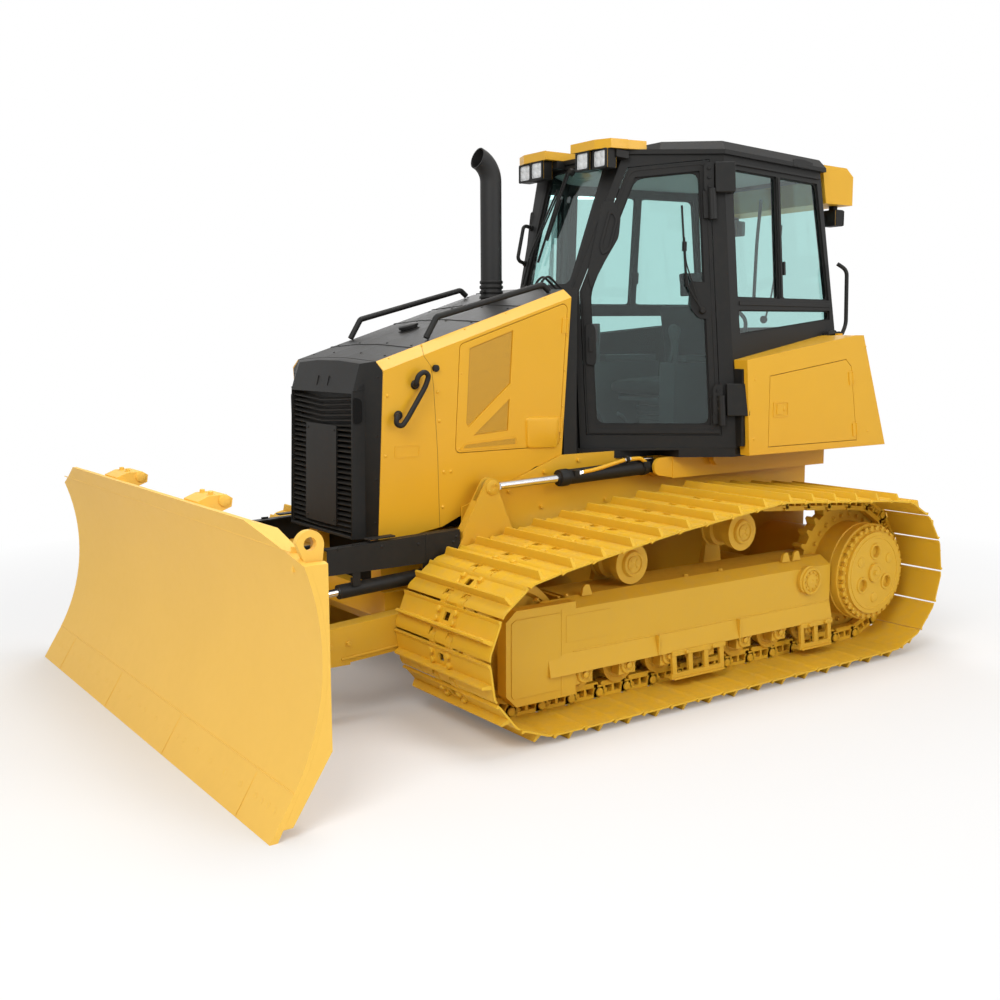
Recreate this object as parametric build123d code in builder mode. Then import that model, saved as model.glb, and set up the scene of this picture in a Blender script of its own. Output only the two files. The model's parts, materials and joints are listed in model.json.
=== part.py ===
from build123d import *
import math
import os

# A crawler bulldozer with wide low-ground-pressure tracks and a blade that lifts, angles and tilts.
# Millimetres. +X is forward, +Y is the machine's left and +Z is up.
# The origin lies on the ground under the middle of the whole machine.

os.makedirs("parts", exist_ok=True)

# ---------------------------------------------------------------- driving dimensions

# tracks
OVERALL_WIDTH = 2760
SHOE_WIDTH = 825
LINK_COUNT = 40
PITCH = 185.7
SPROCKET_PITCHES = 14
GROUSER_HEIGHT = 40
GROUSER_TIP = 12
GROUSER_FOOT = 20
SHOE_THICKNESS = 10
PIN_TO_SHOE = 26
RAIL_ABOVE_PIN = 55
BUSHING_RADIUS = 22
STRAND_INNER = 48
STRAND_OUTER = 95
SPROCKET_X = -1692
IDLER_PIN_RADIUS = 345
CARRIER_PATH_RADIUS = 164
CARRIERS = [(-722, 812), (89, 725)]        # x, z of each carrier roller
ROLLER_RADIUS = 90
ROLLER_FRONT_X = 465
ROLLER_SPACING = 285
ROLLER_COUNT = 7
FLANGE_STEP = 14

# track frames
FRAME_HALF = 185
FRAME_TOP = 610
FRAME_FOLD = 565
FRAME_REAR_X = -1385
FRAME_FLOOR = 350
SKIRT_BOTTOM = 245
SKIRT_FLARE = 24
ARM_THICKNESS = 70
CHANNEL_HALF = 115
FORK_REACH = 124
FORK_BOTTOM = 130
FORK_TOP = 600

# main frame and engine
HULL_HALF = 440
HULL_BOTTOM = 380
HULL_REAR_X = -1985
HULL_FRONT_X = 1190
HULL_LOW_TOP = 600
DECK_TOP = 1196
DECK_BOTTOM = 1070
DECK_HALF = 590
DECK_FRONT_X = -650
RAIL_TOP = 880
PIVOT_SHAFT_X = -1176
PIVOT_SHAFT_Z = 500
PIVOT_SHAFT_RADIUS = 70
EQUALIZER_X = -80

# push frame
TRUNNION_X = 150
TRUNNION_Z = 490
TRUNNION_RADIUS = 45
PUSH_ARM_IN = 455
PUSH_ARM_OUT = 549
NOSE_PIN_X = 1900
NOSE_PIN_RADIUS = 40
NOSE_RADIUS = 90
NOSE_LOW = 300
NOSE_HIGH = 500
NOSE_PLATE = 45
BRACKET_PIN_X = 600
BRACKET_PIN_Z = 1105
BRACKET_PLATE = 10
BRACKET_GAP = 34
LIFT_Y = 522
RUN_GAP = 0.4

# lift cylinders
BARREL_PIN_X = -560
BARREL_PIN_Z = 1142
LIFT_BARREL_LENGTH = 700
LIFT_BARREL_RADIUS = 42
LIFT_ROD_RADIUS = 22
LIFT_EYE_RADIUS = 40
LIFT_PIN_RADIUS = 20
EAR = 18
EAR_GAP = 46

# blade
BLADE_WIDTH = 3240
BLADE_TOP = 1170
BLADE_TOP_X = 2253
BLADE_HOLLOW_X = 2129
BLADE_HOLLOW_Z = 640
EDGE_TOP_X = 2264
EDGE_TOP_Z = 168
EDGE_TIP_X = 2365
MOLDBOARD_THICKNESS = 22
SHOULDER_Y = 1206
SHOULDER_DROP = 130
END_PLATE = 25
END_BACK_X = 2095
TILT_Z = 400
TILT_SHAFT_RADIUS = 50
TOWER_X = 1998
TOWER_THICKNESS = 32
HUB_BACK_X = 2038

# angle and tilt cylinders
ANGLE_Y = 500
ANGLE_BASE_X = 845
ANGLE_BASE_Z = 690
ANGLE_EYE_X = NOSE_PIN_X
ANGLE_EYE_Z = 630
ANGLE_BARREL_LENGTH = 640
ANGLE_BARREL_RADIUS = 36
ANGLE_ROD_RADIUS = 19
ANGLE_LUG_GAP = 90
GUARD_REACH = 44
GUARD_WIDTH = 56
TILT_CYLINDER_X = 1952
TILT_BASE_Y = 60
TILT_EYE_Y = -560
TILT_CYLINDER_Z = 860
TILT_BARREL_LENGTH = 400
TILT_BARREL_RADIUS = 40
TILT_ROD_RADIUS = 22
CYLINDER_PIN_RADIUS = 16

# hood
HOOD_FRONT_X = 1215
HOOD_REAR_X = 45
NOSE_FRONT_X = 1250
HOOD_BOTTOM_Z = 850
FOLD_FRONT_Z = 1722
FOLD_SLOPE = 0.32
FOLD_Y = 510
SIDE_LEAN = 0.0934
HOOD_EDGE_Y = 440
HOOD_EDGE_RISE = 45
HOOD_CROWN = 16
PANEL = 22
SEAM = 4
DOOR_FRONT_X = 765
DOOR_REAR_X = 70
DOOR_BOTTOM_Z = 1290

# cab
CAB_WALL = 45
CAB_FLOOR_TOP = 1250
ROOF_BOTTOM = 2900
ROOF_STEP = 2925
ROOF_TOP = 2975
GLASS = 6

# ---------------------------------------------------------------- worked-out values

TRACK_Y = (OVERALL_WIDTH - SHOE_WIDTH) / 2
PIN_TO_TIP = PIN_TO_SHOE + SHOE_THICKNESS + GROUSER_HEIGHT
SPROCKET_PIN_RADIUS = PITCH * SPROCKET_PITCHES / (2 * math.pi)
SPROCKET_Z = SPROCKET_PIN_RADIUS + PIN_TO_TIP
IDLER_Z = IDLER_PIN_RADIUS + PIN_TO_TIP
RAIL_Z = PIN_TO_TIP + RAIL_ABOVE_PIN
ROLLER_Z = RAIL_Z + ROLLER_RADIUS + 0.3
FRAME_IN = TRACK_Y - FRAME_HALF
FRAME_OUT = TRACK_Y + FRAME_HALF


def side_plane(y):
    """Plane whose local x and y are the machine's X and Z, at this y; extrusions run towards -Y."""
    return Plane.XZ.offset(-y)


def save(piece, name):
    piece.label = name
    export_step(piece, f"parts/{name}.step")


def save_pair(piece, name):
    """A left-hand piece and its mirror image."""
    save(piece, "left_" + name)
    save(mirror(piece, about=Plane.XZ), "right_" + name)


def wall_plane(a, b, c):
    """Plane through three points, listed anticlockwise as seen from outside."""
    along = Vector(*b) - Vector(*a)
    normal = along.cross(Vector(*c) - Vector(*a))
    return Plane(origin=Vector(*a), x_dir=along, z_dir=normal)


def on_plane(plane, points):
    """Local coordinates of points in space that lie on a plane."""
    local = [plane.to_local_coords(Vector(*point)) for point in points]
    return [(point.X, point.Y) for point in local]


def hinge_pin(plane, a, b, share, lift):
    """Plane across a hinge's axis, at this share of the line from local a to b and lifted off the face."""
    start = plane.from_local_coords(Vector(a[0], a[1], lift))
    end = plane.from_local_coords(Vector(b[0], b[1], lift))
    return Plane(origin=start + (end - start) * share, z_dir=end - start)


def hinge_leaf(a, b, share, length, reach):
    """Local corners of a leaf that lies between the hinge's line and this far to its left."""
    size = math.dist(a, b)
    along = ((b[0] - a[0]) / size, (b[1] - a[1]) / size)
    corners = []
    for way, across in ((-length / 2, 0), (length / 2, 0), (length / 2, reach), (-length / 2, reach)):
        corners.append((a[0] + along[0] * (share * size + way) - along[1] * across,
                        a[1] + along[1] * (share * size + way) + along[0] * across))
    return corners


# ---------------------------------------------------------------- the chain's path

def shared_normal(a, b):
    """Angle of the outward normal where the chain leaves circle a for circle b (x, z, radius)."""
    dx = b[0] - a[0]
    dz = b[1] - a[1]
    return math.atan2(dz, dx) + math.acos((a[2] - b[2]) / math.hypot(dx, dz))


def chain_path(idler_x):
    """The chain's straight runs and arcs, as (length, function giving x, z from the way along it)."""
    circles = [(idler_x, IDLER_Z, IDLER_PIN_RADIUS), (SPROCKET_X, SPROCKET_Z, SPROCKET_PIN_RADIUS)]
    circles += [(x, z, CARRIER_PATH_RADIUS) for x, z in CARRIERS]
    normals = [shared_normal(circles[i], circles[(i + 1) % 4]) for i in range(4)]
    spans = []
    for i in range(4):
        a = circles[i]
        b = circles[(i + 1) % 4]
        n = normals[i]
        start = (a[0] + a[2] * math.cos(n), a[1] + a[2] * math.sin(n))
        end = (b[0] + b[2] * math.cos(n), b[1] + b[2] * math.sin(n))
        spans.append((math.dist(start, end), "run", start, end))
        sweep = (n - normals[(i + 1) % 4]) % (2 * math.pi)
        spans.append((b[2] * sweep, "arc", b, n))
    return spans


def chain_length(idler_x):
    return sum(span[0] for span in chain_path(idler_x))


def solve_idler_x():
    """The idler is slid along its frame until the chain is taut."""
    low = 200
    high = 2000
    for _ in range(60):
        middle = (low + high) / 2
        if chain_length(middle) < LINK_COUNT * PITCH:
            low = middle
        else:
            high = middle
    return low


IDLER_X = solve_idler_x()
SPANS = chain_path(IDLER_X)


def chain_point(way):
    """x, z on the chain's path at this way along it from the idler's lowest point."""
    way = way % (LINK_COUNT * PITCH)
    for length, kind, first, second in SPANS:
        if way <= length:
            break
        way -= length
    if kind == "run":
        share = way / length
        return (first[0] + share * (second[0] - first[0]), first[1] + share * (second[1] - first[1]))
    angle = second - way / first[2]
    return (first[0] + first[2] * math.cos(angle), first[1] + first[2] * math.sin(angle))


PINS = [chain_point((i + 0.35) * PITCH) for i in range(LINK_COUNT)]


def sprocket_tooth_phase():
    """Angle from the sprocket's centre to the pin nearest to lying on its rear side."""
    rear = min(PINS, key=lambda pin: math.dist(pin, (SPROCKET_X - SPROCKET_PIN_RADIUS, SPROCKET_Z)))
    return math.degrees(math.atan2(rear[1] - SPROCKET_Z, rear[0] - SPROCKET_X))


TOOTH_PHASE = sprocket_tooth_phase()


def link_frame(i):
    """Start, end, direction along and direction outward of link i."""
    a = PINS[i]
    b = PINS[(i + 1) % LINK_COUNT]
    length = math.dist(a, b)
    along = ((b[0] - a[0]) / length, (b[1] - a[1]) / length)
    return a, b, length, along, (-along[1], along[0])


def joint_point(i, height):
    """Where the lines at this height over the links before and after pin i meet."""
    n0 = link_frame(i - 1)[4]
    n1 = link_frame(i)[4]
    mid = (n0[0] + n1[0], n0[1] + n1[1])
    size = math.hypot(*mid)
    mid = (mid[0] / size, mid[1] / size)
    reach = height / (mid[0] * n1[0] + mid[1] * n1[1])
    return (PINS[i][0] + reach * mid[0], PINS[i][1] + reach * mid[1])


def over_link(i, way, height):
    a, b, length, along, out = link_frame(i)
    return (a[0] + along[0] * way + out[0] * height, a[1] + along[1] * way + out[1] * height)


# ---------------------------------------------------------------- tracks

SHOE_FACE = PIN_TO_SHOE + SHOE_THICKNESS
outer_loop = []
for i in range(LINK_COUNT):
    outer_loop.append(joint_point(i, SHOE_FACE))
    outer_loop.append(over_link(i, 30 - GROUSER_FOOT / 2, SHOE_FACE))
    outer_loop.append(over_link(i, 30 - GROUSER_TIP / 2, PIN_TO_TIP))
    outer_loop.append(over_link(i, 30 + GROUSER_TIP / 2, PIN_TO_TIP))
    outer_loop.append(over_link(i, 30 + GROUSER_FOOT / 2, SHOE_FACE))
shoe_loop = [joint_point(i, PIN_TO_SHOE) for i in range(LINK_COUNT)]
rail_loop = [joint_point(i, -RAIL_ABOVE_PIN) for i in range(LINK_COUNT)]

with BuildPart() as track:
    with BuildSketch(side_plane(TRACK_Y + SHOE_WIDTH / 2)):
        Polygon(*outer_loop, align=None)
        Polygon(*shoe_loop, align=None, mode=Mode.SUBTRACT)
    extrude(amount=SHOE_WIDTH)
    for strand_y in (TRACK_Y + STRAND_OUTER, TRACK_Y - STRAND_INNER):
        with BuildSketch(side_plane(strand_y)):
            Polygon(*shoe_loop, align=None)
            Polygon(*rail_loop, align=None, mode=Mode.SUBTRACT)
        extrude(amount=STRAND_OUTER - STRAND_INNER)
    with BuildSketch(side_plane(TRACK_Y + STRAND_INNER)):
        with Locations(*PINS):
            Circle(BUSHING_RADIUS)
    extrude(amount=2 * STRAND_INNER)
save_pair(track.part, "track")

# ---------------------------------------------------------------- sprocket with its final-drive hub

SPROCKET_HALF = 34
SPROCKET_ROOT = SPROCKET_PIN_RADIUS - BUSHING_RADIUS - 4
TOOTH_TOP = SPROCKET_PIN_RADIUS + 10
DRUM_RADIUS = 285
DRUM_FACE_Y = TRACK_Y + 222.5
HUB_RADIUS = 258
HUB_FACE_Y = TRACK_Y + 264.5
DRIVE_TUBE_RADIUS = 220
HUB_LUGS = 33

with BuildPart() as sprocket:
    with BuildSketch(side_plane(TRACK_Y + SPROCKET_HALF)):
        with Locations((SPROCKET_X, SPROCKET_Z)):
            Circle(SPROCKET_ROOT)
            with PolarLocations(0, 2 * SPROCKET_PITCHES, start_angle=TOOTH_PHASE + 90 / SPROCKET_PITCHES):
                Polygon((SPROCKET_ROOT - 8, -21), (TOOTH_TOP, -9), (TOOTH_TOP, 9), (SPROCKET_ROOT - 8, 21),
                        align=None)
    extrude(amount=2 * SPROCKET_HALF)
    with BuildSketch(side_plane(DRUM_FACE_Y)):
        with Locations((SPROCKET_X, SPROCKET_Z)):
            Circle(DRUM_RADIUS)
    extrude(amount=DRUM_FACE_Y - TRACK_Y)
    with BuildSketch(side_plane(DRUM_FACE_Y + 24)):
        with Locations((SPROCKET_X, SPROCKET_Z)):
            Circle(HUB_RADIUS + 4)
            with PolarLocations(HUB_RADIUS + 4, HUB_LUGS):
                Rectangle(34, 26)
    extrude(amount=24)
    with BuildSketch(side_plane(HUB_FACE_Y)):
        with Locations((SPROCKET_X, SPROCKET_Z)):
            Circle(HUB_RADIUS - 14)
            with PolarLocations(128, 3, start_angle=90):
                Circle(34, mode=Mode.SUBTRACT)
    extrude(amount=18)
    with BuildSketch(side_plane(HUB_FACE_Y + 10)):
        with Locations((SPROCKET_X, SPROCKET_Z)):
            Circle(58)
    extrude(amount=20)
save_pair(sprocket.part, "sprocket")

# ---------------------------------------------------------------- idler and rollers

IDLER_TREAD = IDLER_PIN_RADIUS * math.cos(PITCH / IDLER_PIN_RADIUS / 2) - RAIL_ABOVE_PIN - 1
CARRIER_TREAD = CARRIER_PATH_RADIUS - RAIL_ABOVE_PIN - 10


def wheel_section(x, z, stations):
    """Half section of a wheel on an axle along Y, from (offset from the track's middle, radius) pairs."""
    upper = [(x + radius, TRACK_Y + offset) for offset, radius in stations]
    return [(x, TRACK_Y + stations[0][0])] + upper + [(x, TRACK_Y + stations[-1][0])]


idler_stations = [  # offset across the track, radius
    (-CHANNEL_HALF, 45), (-78, 45), (-78, 90), (-60, 110), (-60, IDLER_TREAD - 45), (-88, IDLER_TREAD - 30),
    (-88, IDLER_TREAD), (-42, IDLER_TREAD), (-38, IDLER_TREAD + 18), (38, IDLER_TREAD + 18), (42, IDLER_TREAD),
    (88, IDLER_TREAD), (88, IDLER_TREAD - 30), (60, IDLER_TREAD - 45), (60, 110), (78, 90), (78, 45),
    (CHANNEL_HALF, 45)]
with BuildPart() as idler:
    with BuildSketch(Plane.XY.offset(IDLER_Z)):
        Polygon(*wheel_section(IDLER_X, IDLER_Z, idler_stations), align=None)
    revolve(axis=Axis((IDLER_X, 0, IDLER_Z), (0, 1, 0)))
save_pair(idler.part, "idler")

AXLE_RADIUS = 23
roller_stations = [  # offset across the track, radius
    (-FRAME_HALF + 8, AXLE_RADIUS), (-112, AXLE_RADIUS), (-112, ROLLER_RADIUS + FLANGE_STEP), (-100, ROLLER_RADIUS + FLANGE_STEP),
    (-98, ROLLER_RADIUS), (-46, ROLLER_RADIUS), (-34, ROLLER_RADIUS - 22), (34, ROLLER_RADIUS - 22),
    (46, ROLLER_RADIUS), (98, ROLLER_RADIUS), (100, ROLLER_RADIUS + FLANGE_STEP),
    (112, ROLLER_RADIUS + FLANGE_STEP), (112, AXLE_RADIUS), (FRAME_HALF - 8, AXLE_RADIUS)]
carrier_stations = [  # offset across the track, radius
    (-150, 30), (-106, 30), (-106, CARRIER_TREAD + 8), (-98, CARRIER_TREAD + 8), (-96, CARRIER_TREAD),
    (-46, CARRIER_TREAD), (-40, CARRIER_TREAD - 20), (40, CARRIER_TREAD - 20), (46, CARRIER_TREAD),
    (96, CARRIER_TREAD), (98, CARRIER_TREAD + 8), (106, CARRIER_TREAD + 8), (106, 70), (118, 66), (118, 0)]
with BuildPart() as track_rollers:
    for i in range(ROLLER_COUNT):
        roller_x = ROLLER_FRONT_X - i * ROLLER_SPACING
        with BuildSketch(Plane.XY.offset(ROLLER_Z)):
            Polygon(*wheel_section(roller_x, ROLLER_Z, roller_stations), align=None)
        revolve(axis=Axis((roller_x, 0, ROLLER_Z), (0, 1, 0)))
        for saddle_y in (FRAME_OUT - 6, FRAME_IN + ARM_THICKNESS - 6):
            with BuildSketch(side_plane(saddle_y)):
                with Locations((roller_x, (SKIRT_BOTTOM + ROLLER_Z - 45) / 2)):
                    Rectangle(110, SKIRT_BOTTOM - ROLLER_Z + 45)
            extrude(amount=ARM_THICKNESS - 12)
    for roller_x, roller_z in CARRIERS:
        with BuildSketch(Plane.XY.offset(roller_z)):
            Polygon(*wheel_section(roller_x, roller_z, carrier_stations), align=None)
        revolve(axis=Axis((roller_x, 0, roller_z), (0, 1, 0)))
        with BuildSketch(side_plane(TRACK_Y - 118)):
            Polygon((roller_x - 70, FRAME_TOP), (roller_x - 32, roller_z + 34), (roller_x + 32, roller_z + 34),
                    (roller_x + 70, FRAME_TOP), align=None)
        extrude(amount=34)
save_pair(track_rollers.part, "track_rollers")

# ---------------------------------------------------------------- track frames

FORK_FRONT_X = IDLER_X + FORK_REACH
IDLER_ROOM = 302
FORK_REAR_X = IDLER_X - IDLER_ROOM + 4
with BuildPart() as track_frame:
    with BuildSketch(Plane.YZ.offset(FRAME_REAR_X)):
        Polygon((FRAME_IN, SKIRT_BOTTOM), (FRAME_IN, FRAME_FOLD), (FRAME_IN + 60, FRAME_TOP),
                (FRAME_OUT - 75, FRAME_TOP), (FRAME_OUT, FRAME_FOLD), (FRAME_OUT, FRAME_FLOOR),
                (FRAME_OUT + SKIRT_FLARE, SKIRT_BOTTOM), align=None)
        with Locations((TRACK_Y, (SKIRT_BOTTOM + FRAME_FLOOR) / 2)):
            Rectangle(2 * CHANNEL_HALF, FRAME_FLOOR - SKIRT_BOTTOM, mode=Mode.SUBTRACT)
    extrude(amount=FORK_FRONT_X - 250 - FRAME_REAR_X)
    for fork_y in (FRAME_OUT + 1, FRAME_IN + ARM_THICKNESS):
        with BuildSketch(side_plane(fork_y)):
            with BuildLine():
                Polyline((FORK_REAR_X, FORK_BOTTOM), (FORK_FRONT_X - 60, FORK_BOTTOM),
                         (FORK_FRONT_X, FORK_BOTTOM + 60), (FORK_FRONT_X, FORK_TOP - 50),
                         (FORK_FRONT_X - 60, FORK_TOP), (FORK_REAR_X, FORK_TOP), close=True)
            make_face()
        extrude(amount=ARM_THICKNESS)
    # room for the idler between the fork's arms
    with BuildSketch(Plane.XY.offset(0)):
        with Locations((IDLER_X + (400 - IDLER_ROOM) / 2, TRACK_Y)):
            Rectangle(400 + IDLER_ROOM, 2 * CHANNEL_HALF)
    extrude(amount=FRAME_TOP + 10, mode=Mode.SUBTRACT)
    # room for the sprocket's teeth
    with BuildSketch(Plane.XY.offset(0)):
        with Locations((FRAME_REAR_X + 70, TRACK_Y)):
            Rectangle(170, 2 * (SPROCKET_HALF + 20))
    extrude(amount=FRAME_TOP + 10, mode=Mode.SUBTRACT)
    with BuildSketch(side_plane(FRAME_OUT + 22)):
        with Locations((PIVOT_SHAFT_X, PIVOT_SHAFT_Z)):
            Circle(80)
    extrude(amount=22)
save_pair(track_frame.part, "track_frame")

# ---------------------------------------------------------------- main frame

with BuildPart() as main_frame:
    with BuildSketch(side_plane(HULL_HALF)):
        Polygon((HULL_REAR_X, 600), (HULL_REAR_X + 130, HULL_BOTTOM), (HULL_FRONT_X - 90, HULL_BOTTOM),
                (HULL_FRONT_X, HULL_BOTTOM + 80), (HULL_FRONT_X, HULL_LOW_TOP), (HOOD_REAR_X, HULL_LOW_TOP),
                (HOOD_REAR_X, DECK_TOP), (HULL_REAR_X, DECK_TOP), align=None)
    extrude(amount=2 * HULL_HALF)
    # deck over the tracks' inner edges
    with BuildSketch(Plane.XY.offset(DECK_BOTTOM)):
        Polygon((HULL_REAR_X, -DECK_HALF), (DECK_FRONT_X, -DECK_HALF), (DECK_FRONT_X, DECK_HALF),
                (HULL_REAR_X, DECK_HALF), align=None)
    extrude(amount=DECK_TOP - DECK_BOTTOM)
    for side in (1, -1):
        # engine rails
        with BuildSketch(Plane.XY.offset(HULL_LOW_TOP)):
            with Locations(((HOOD_REAR_X + HULL_FRONT_X) / 2, side * (HULL_HALF - PANEL - 66))):
                Rectangle(HULL_FRONT_X - HOOD_REAR_X, 100)
        extrude(amount=RAIL_TOP - HULL_LOW_TOP)
        # final-drive tube
        with BuildSketch(side_plane(side * HULL_HALF)):
            with Locations((SPROCKET_X, SPROCKET_Z)):
                Circle(DRIVE_TUBE_RADIUS)
        extrude(amount=-side * (TRACK_Y - SPROCKET_HALF - HULL_HALF))
        # trunnion of the push frame
        with BuildSketch(side_plane(side * HULL_HALF)):
            with Locations((TRUNNION_X, TRUNNION_Z)):
                Circle(TRUNNION_RADIUS)
        extrude(amount=-side * (PUSH_ARM_OUT - HULL_HALF))
        # ears and pin of the lift cylinder's barrel
        for ear_y in (LIFT_Y - EAR_GAP - EAR, LIFT_Y + EAR_GAP):
            with BuildSketch(side_plane(side * ear_y)):
                with BuildLine():
                    l1 = Line((DECK_FRONT_X - 20, DECK_BOTTOM), (BARREL_PIN_X, BARREL_PIN_Z - 52))
                    a1 = ThreePointArc(l1 @ 1, (BARREL_PIN_X + 52, BARREL_PIN_Z), (BARREL_PIN_X, BARREL_PIN_Z + 52))
                    Polyline(a1 @ 1, (DECK_FRONT_X - 20, DECK_TOP), l1 @ 0)
                make_face()
            extrude(amount=-side * EAR)
        with BuildSketch(side_plane(side * (LIFT_Y - EAR_GAP - EAR))):
            with Locations((BARREL_PIN_X, BARREL_PIN_Z)):
                Circle(LIFT_PIN_RADIUS)
        extrude(amount=-side * 2 * (EAR_GAP + EAR))
    # web that ties the inner ears to the hull
    with BuildSketch(Plane.XY.offset(DECK_BOTTOM)):
        with Locations((DECK_FRONT_X + 10, 0)):
            Rectangle(60, 2 * (LIFT_Y - EAR_GAP))
    extrude(amount=DECK_TOP - DECK_BOTTOM)
save(main_frame.part, "main_frame")

with BuildPart() as track_frame_supports:
    for side in (1, -1):
        with BuildSketch(side_plane(side * HULL_HALF)):
            with Locations((PIVOT_SHAFT_X, PIVOT_SHAFT_Z)):
                Circle(PIVOT_SHAFT_RADIUS)
            with Locations((EQUALIZER_X, 440)):
                Rectangle(100, 100)
        extrude(amount=-side * (FRAME_IN - HULL_HALF))
save(track_frame_supports.part, "track_frame_supports")

ENGINE_HALF = 300
with BuildPart() as engine_block:
    with BuildSketch(Plane.XY.offset(HULL_LOW_TOP)):
        with Locations((470, 0)):
            Rectangle(780, 2 * ENGINE_HALF)
    extrude(amount=900)
save(engine_block.part, "engine_block")

with BuildPart() as radiator:
    with BuildSketch(Plane.XY.offset(HULL_LOW_TOP)):
        with Locations((1060, 0)):
            Rectangle(120, 600)
    extrude(amount=RAIL_TOP - HULL_LOW_TOP)
    with BuildSketch(Plane.XY.offset(RAIL_TOP)):
        with Locations((1060, 0)):
            Rectangle(120, 2 * (HULL_HALF - PANEL - 18))
    extrude(amount=760)
save(radiator.part, "radiator")

with BuildPart() as drawbar:
    with BuildSketch(Plane.XY.offset(470)):
        Polygon((HULL_REAR_X, -150), (HULL_REAR_X, 150), (-2230, 90), (-2230, -90), align=None)
        with BuildLine():
            l1 = Line((-2230, -90), (-2290, -90))
            a1 = ThreePointArc(l1 @ 1, (-2365, 0), (-2290, 90))
            Polyline(a1 @ 1, (-2230, 90), l1 @ 0)
        make_face()
    extrude(amount=40)
    with BuildSketch(Plane.XY.offset(600)):
        Polygon((HULL_REAR_X, -150), (HULL_REAR_X, 150), (-2230, 90), (-2230, -90), align=None)
        with BuildLine():
            l1 = Line((-2230, -90), (-2290, -90))
            a1 = ThreePointArc(l1 @ 1, (-2365, 0), (-2290, 90))
            Polyline(a1 @ 1, (-2230, 90), l1 @ 0)
        make_face()
    extrude(amount=40)
    with BuildSketch(Plane.XY.offset(600)):
        with Locations((-2080, 0)):
            Rectangle(2 * (HULL_REAR_X + 2080), 120)
    extrude(amount=-90)
    with BuildSketch(Plane.XY.offset(400)):
        with Locations((-2280, 0)):
            Circle(24)
    extrude(amount=300, mode=Mode.SUBTRACT)
save(drawbar.part, "drawbar")

# ---------------------------------------------------------------- hood

def fold_z(x):
    """Height of the fold between the hood's side and its shoulder."""
    return FOLD_FRONT_Z + (HOOD_FRONT_X - x) * FOLD_SLOPE


def side_point(x, z):
    """Point of the leaning left side of the hood."""
    return (x, FOLD_Y - (fold_z(x) - z) * SIDE_LEAN, z)


HOOD_SIDE = wall_plane(side_point(HOOD_FRONT_X, 1000), side_point(HOOD_REAR_X, 1000),
                       side_point(HOOD_REAR_X, 1500))
ALONG_HOOD = (-1, 0, FOLD_SLOPE)
HOOD_RUN = math.hypot(1, FOLD_SLOPE)
DOOR_TOP_DROP = 20
SMALL_HINGE = 6
DOOR_CORNER = 30
engine_door_outline = [(DOOR_REAR_X, DOOR_BOTTOM_Z), (DOOR_FRONT_X, DOOR_BOTTOM_Z),
                       (DOOR_FRONT_X, fold_z(DOOR_FRONT_X) - DOOR_TOP_DROP),
                       (DOOR_REAR_X, fold_z(DOOR_REAR_X) - DOOR_TOP_DROP)]
engine_door_local = on_plane(HOOD_SIDE, [side_point(x, z) for x, z in engine_door_outline])

with BuildPart() as side_panel:
    with BuildSketch(HOOD_SIDE):
        corners = [(HOOD_FRONT_X - 0.9, HOOD_BOTTOM_Z), (830, HOOD_BOTTOM_Z + 55), (420, 1075), (230, 1180),
                   (HOOD_REAR_X, DECK_TOP + 12), (HOOD_REAR_X, fold_z(HOOD_REAR_X)),
                   (HOOD_FRONT_X - 0.9, fold_z(HOOD_FRONT_X))]
        Polygon(*on_plane(HOOD_SIDE, [side_point(x, z) for x, z in corners]), align=None)
        with BuildSketch(mode=Mode.SUBTRACT):
            Polygon(*engine_door_local, align=None)
            offset(amount=SEAM, kind=Kind.INTERSECTION)
            fillet(vertices(), radius=DOOR_CORNER + SEAM)
    extrude(amount=-PANEL)
    with BuildSketch(Plane.YZ.offset(HOOD_FRONT_X)):
        Polygon((FOLD_Y, FOLD_FRONT_Z), (HOOD_EDGE_Y, FOLD_FRONT_Z + HOOD_EDGE_RISE),
                (HOOD_EDGE_Y, FOLD_FRONT_Z + HOOD_EDGE_RISE - PANEL), (FOLD_Y - PANEL, FOLD_FRONT_Z - 12),
                align=None)
    extrude(amount=(HOOD_FRONT_X - HOOD_REAR_X) * HOOD_RUN, dir=ALONG_HOOD)
save_pair(side_panel.part, "side_panel")

with BuildPart() as engine_door:
    with BuildSketch(HOOD_SIDE):
        Polygon(*engine_door_local, align=None)
        fillet(vertices(), radius=DOOR_CORNER)
    extrude(amount=-PANEL)
    # hinges at the rear edge
    hinge_a, hinge_b = on_plane(HOOD_SIDE, [side_point(DOOR_REAR_X - SEAM, z) for z in (DOOR_BOTTOM_Z, 2060)])
    for share in (0.15, 0.85):
        with BuildSketch(hinge_pin(HOOD_SIDE, hinge_a, hinge_b, share, SMALL_HINGE)):
            Circle(SMALL_HINGE - 0.3)
        extrude(amount=40, both=True)
        with BuildSketch(HOOD_SIDE):
            Polygon(*hinge_leaf(hinge_a, hinge_b, share, 80, 34), align=None)
        extrude(amount=SMALL_HINGE)
    # recesses behind the perforated sheets
    with BuildSketch(HOOD_SIDE):
        for mesh_outline in (
                [(430, 1920), (430, 1640), (690, 1420), (705, 1440), (705, 1830)],
                [(430, 1560), (430, 1390), (655, 1375)]):
            Polygon(*on_plane(HOOD_SIDE, [side_point(x, z) for x, z in mesh_outline]), align=None)
    extrude(amount=-8, mode=Mode.SUBTRACT)
save_pair(engine_door.part, "engine_door")

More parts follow.
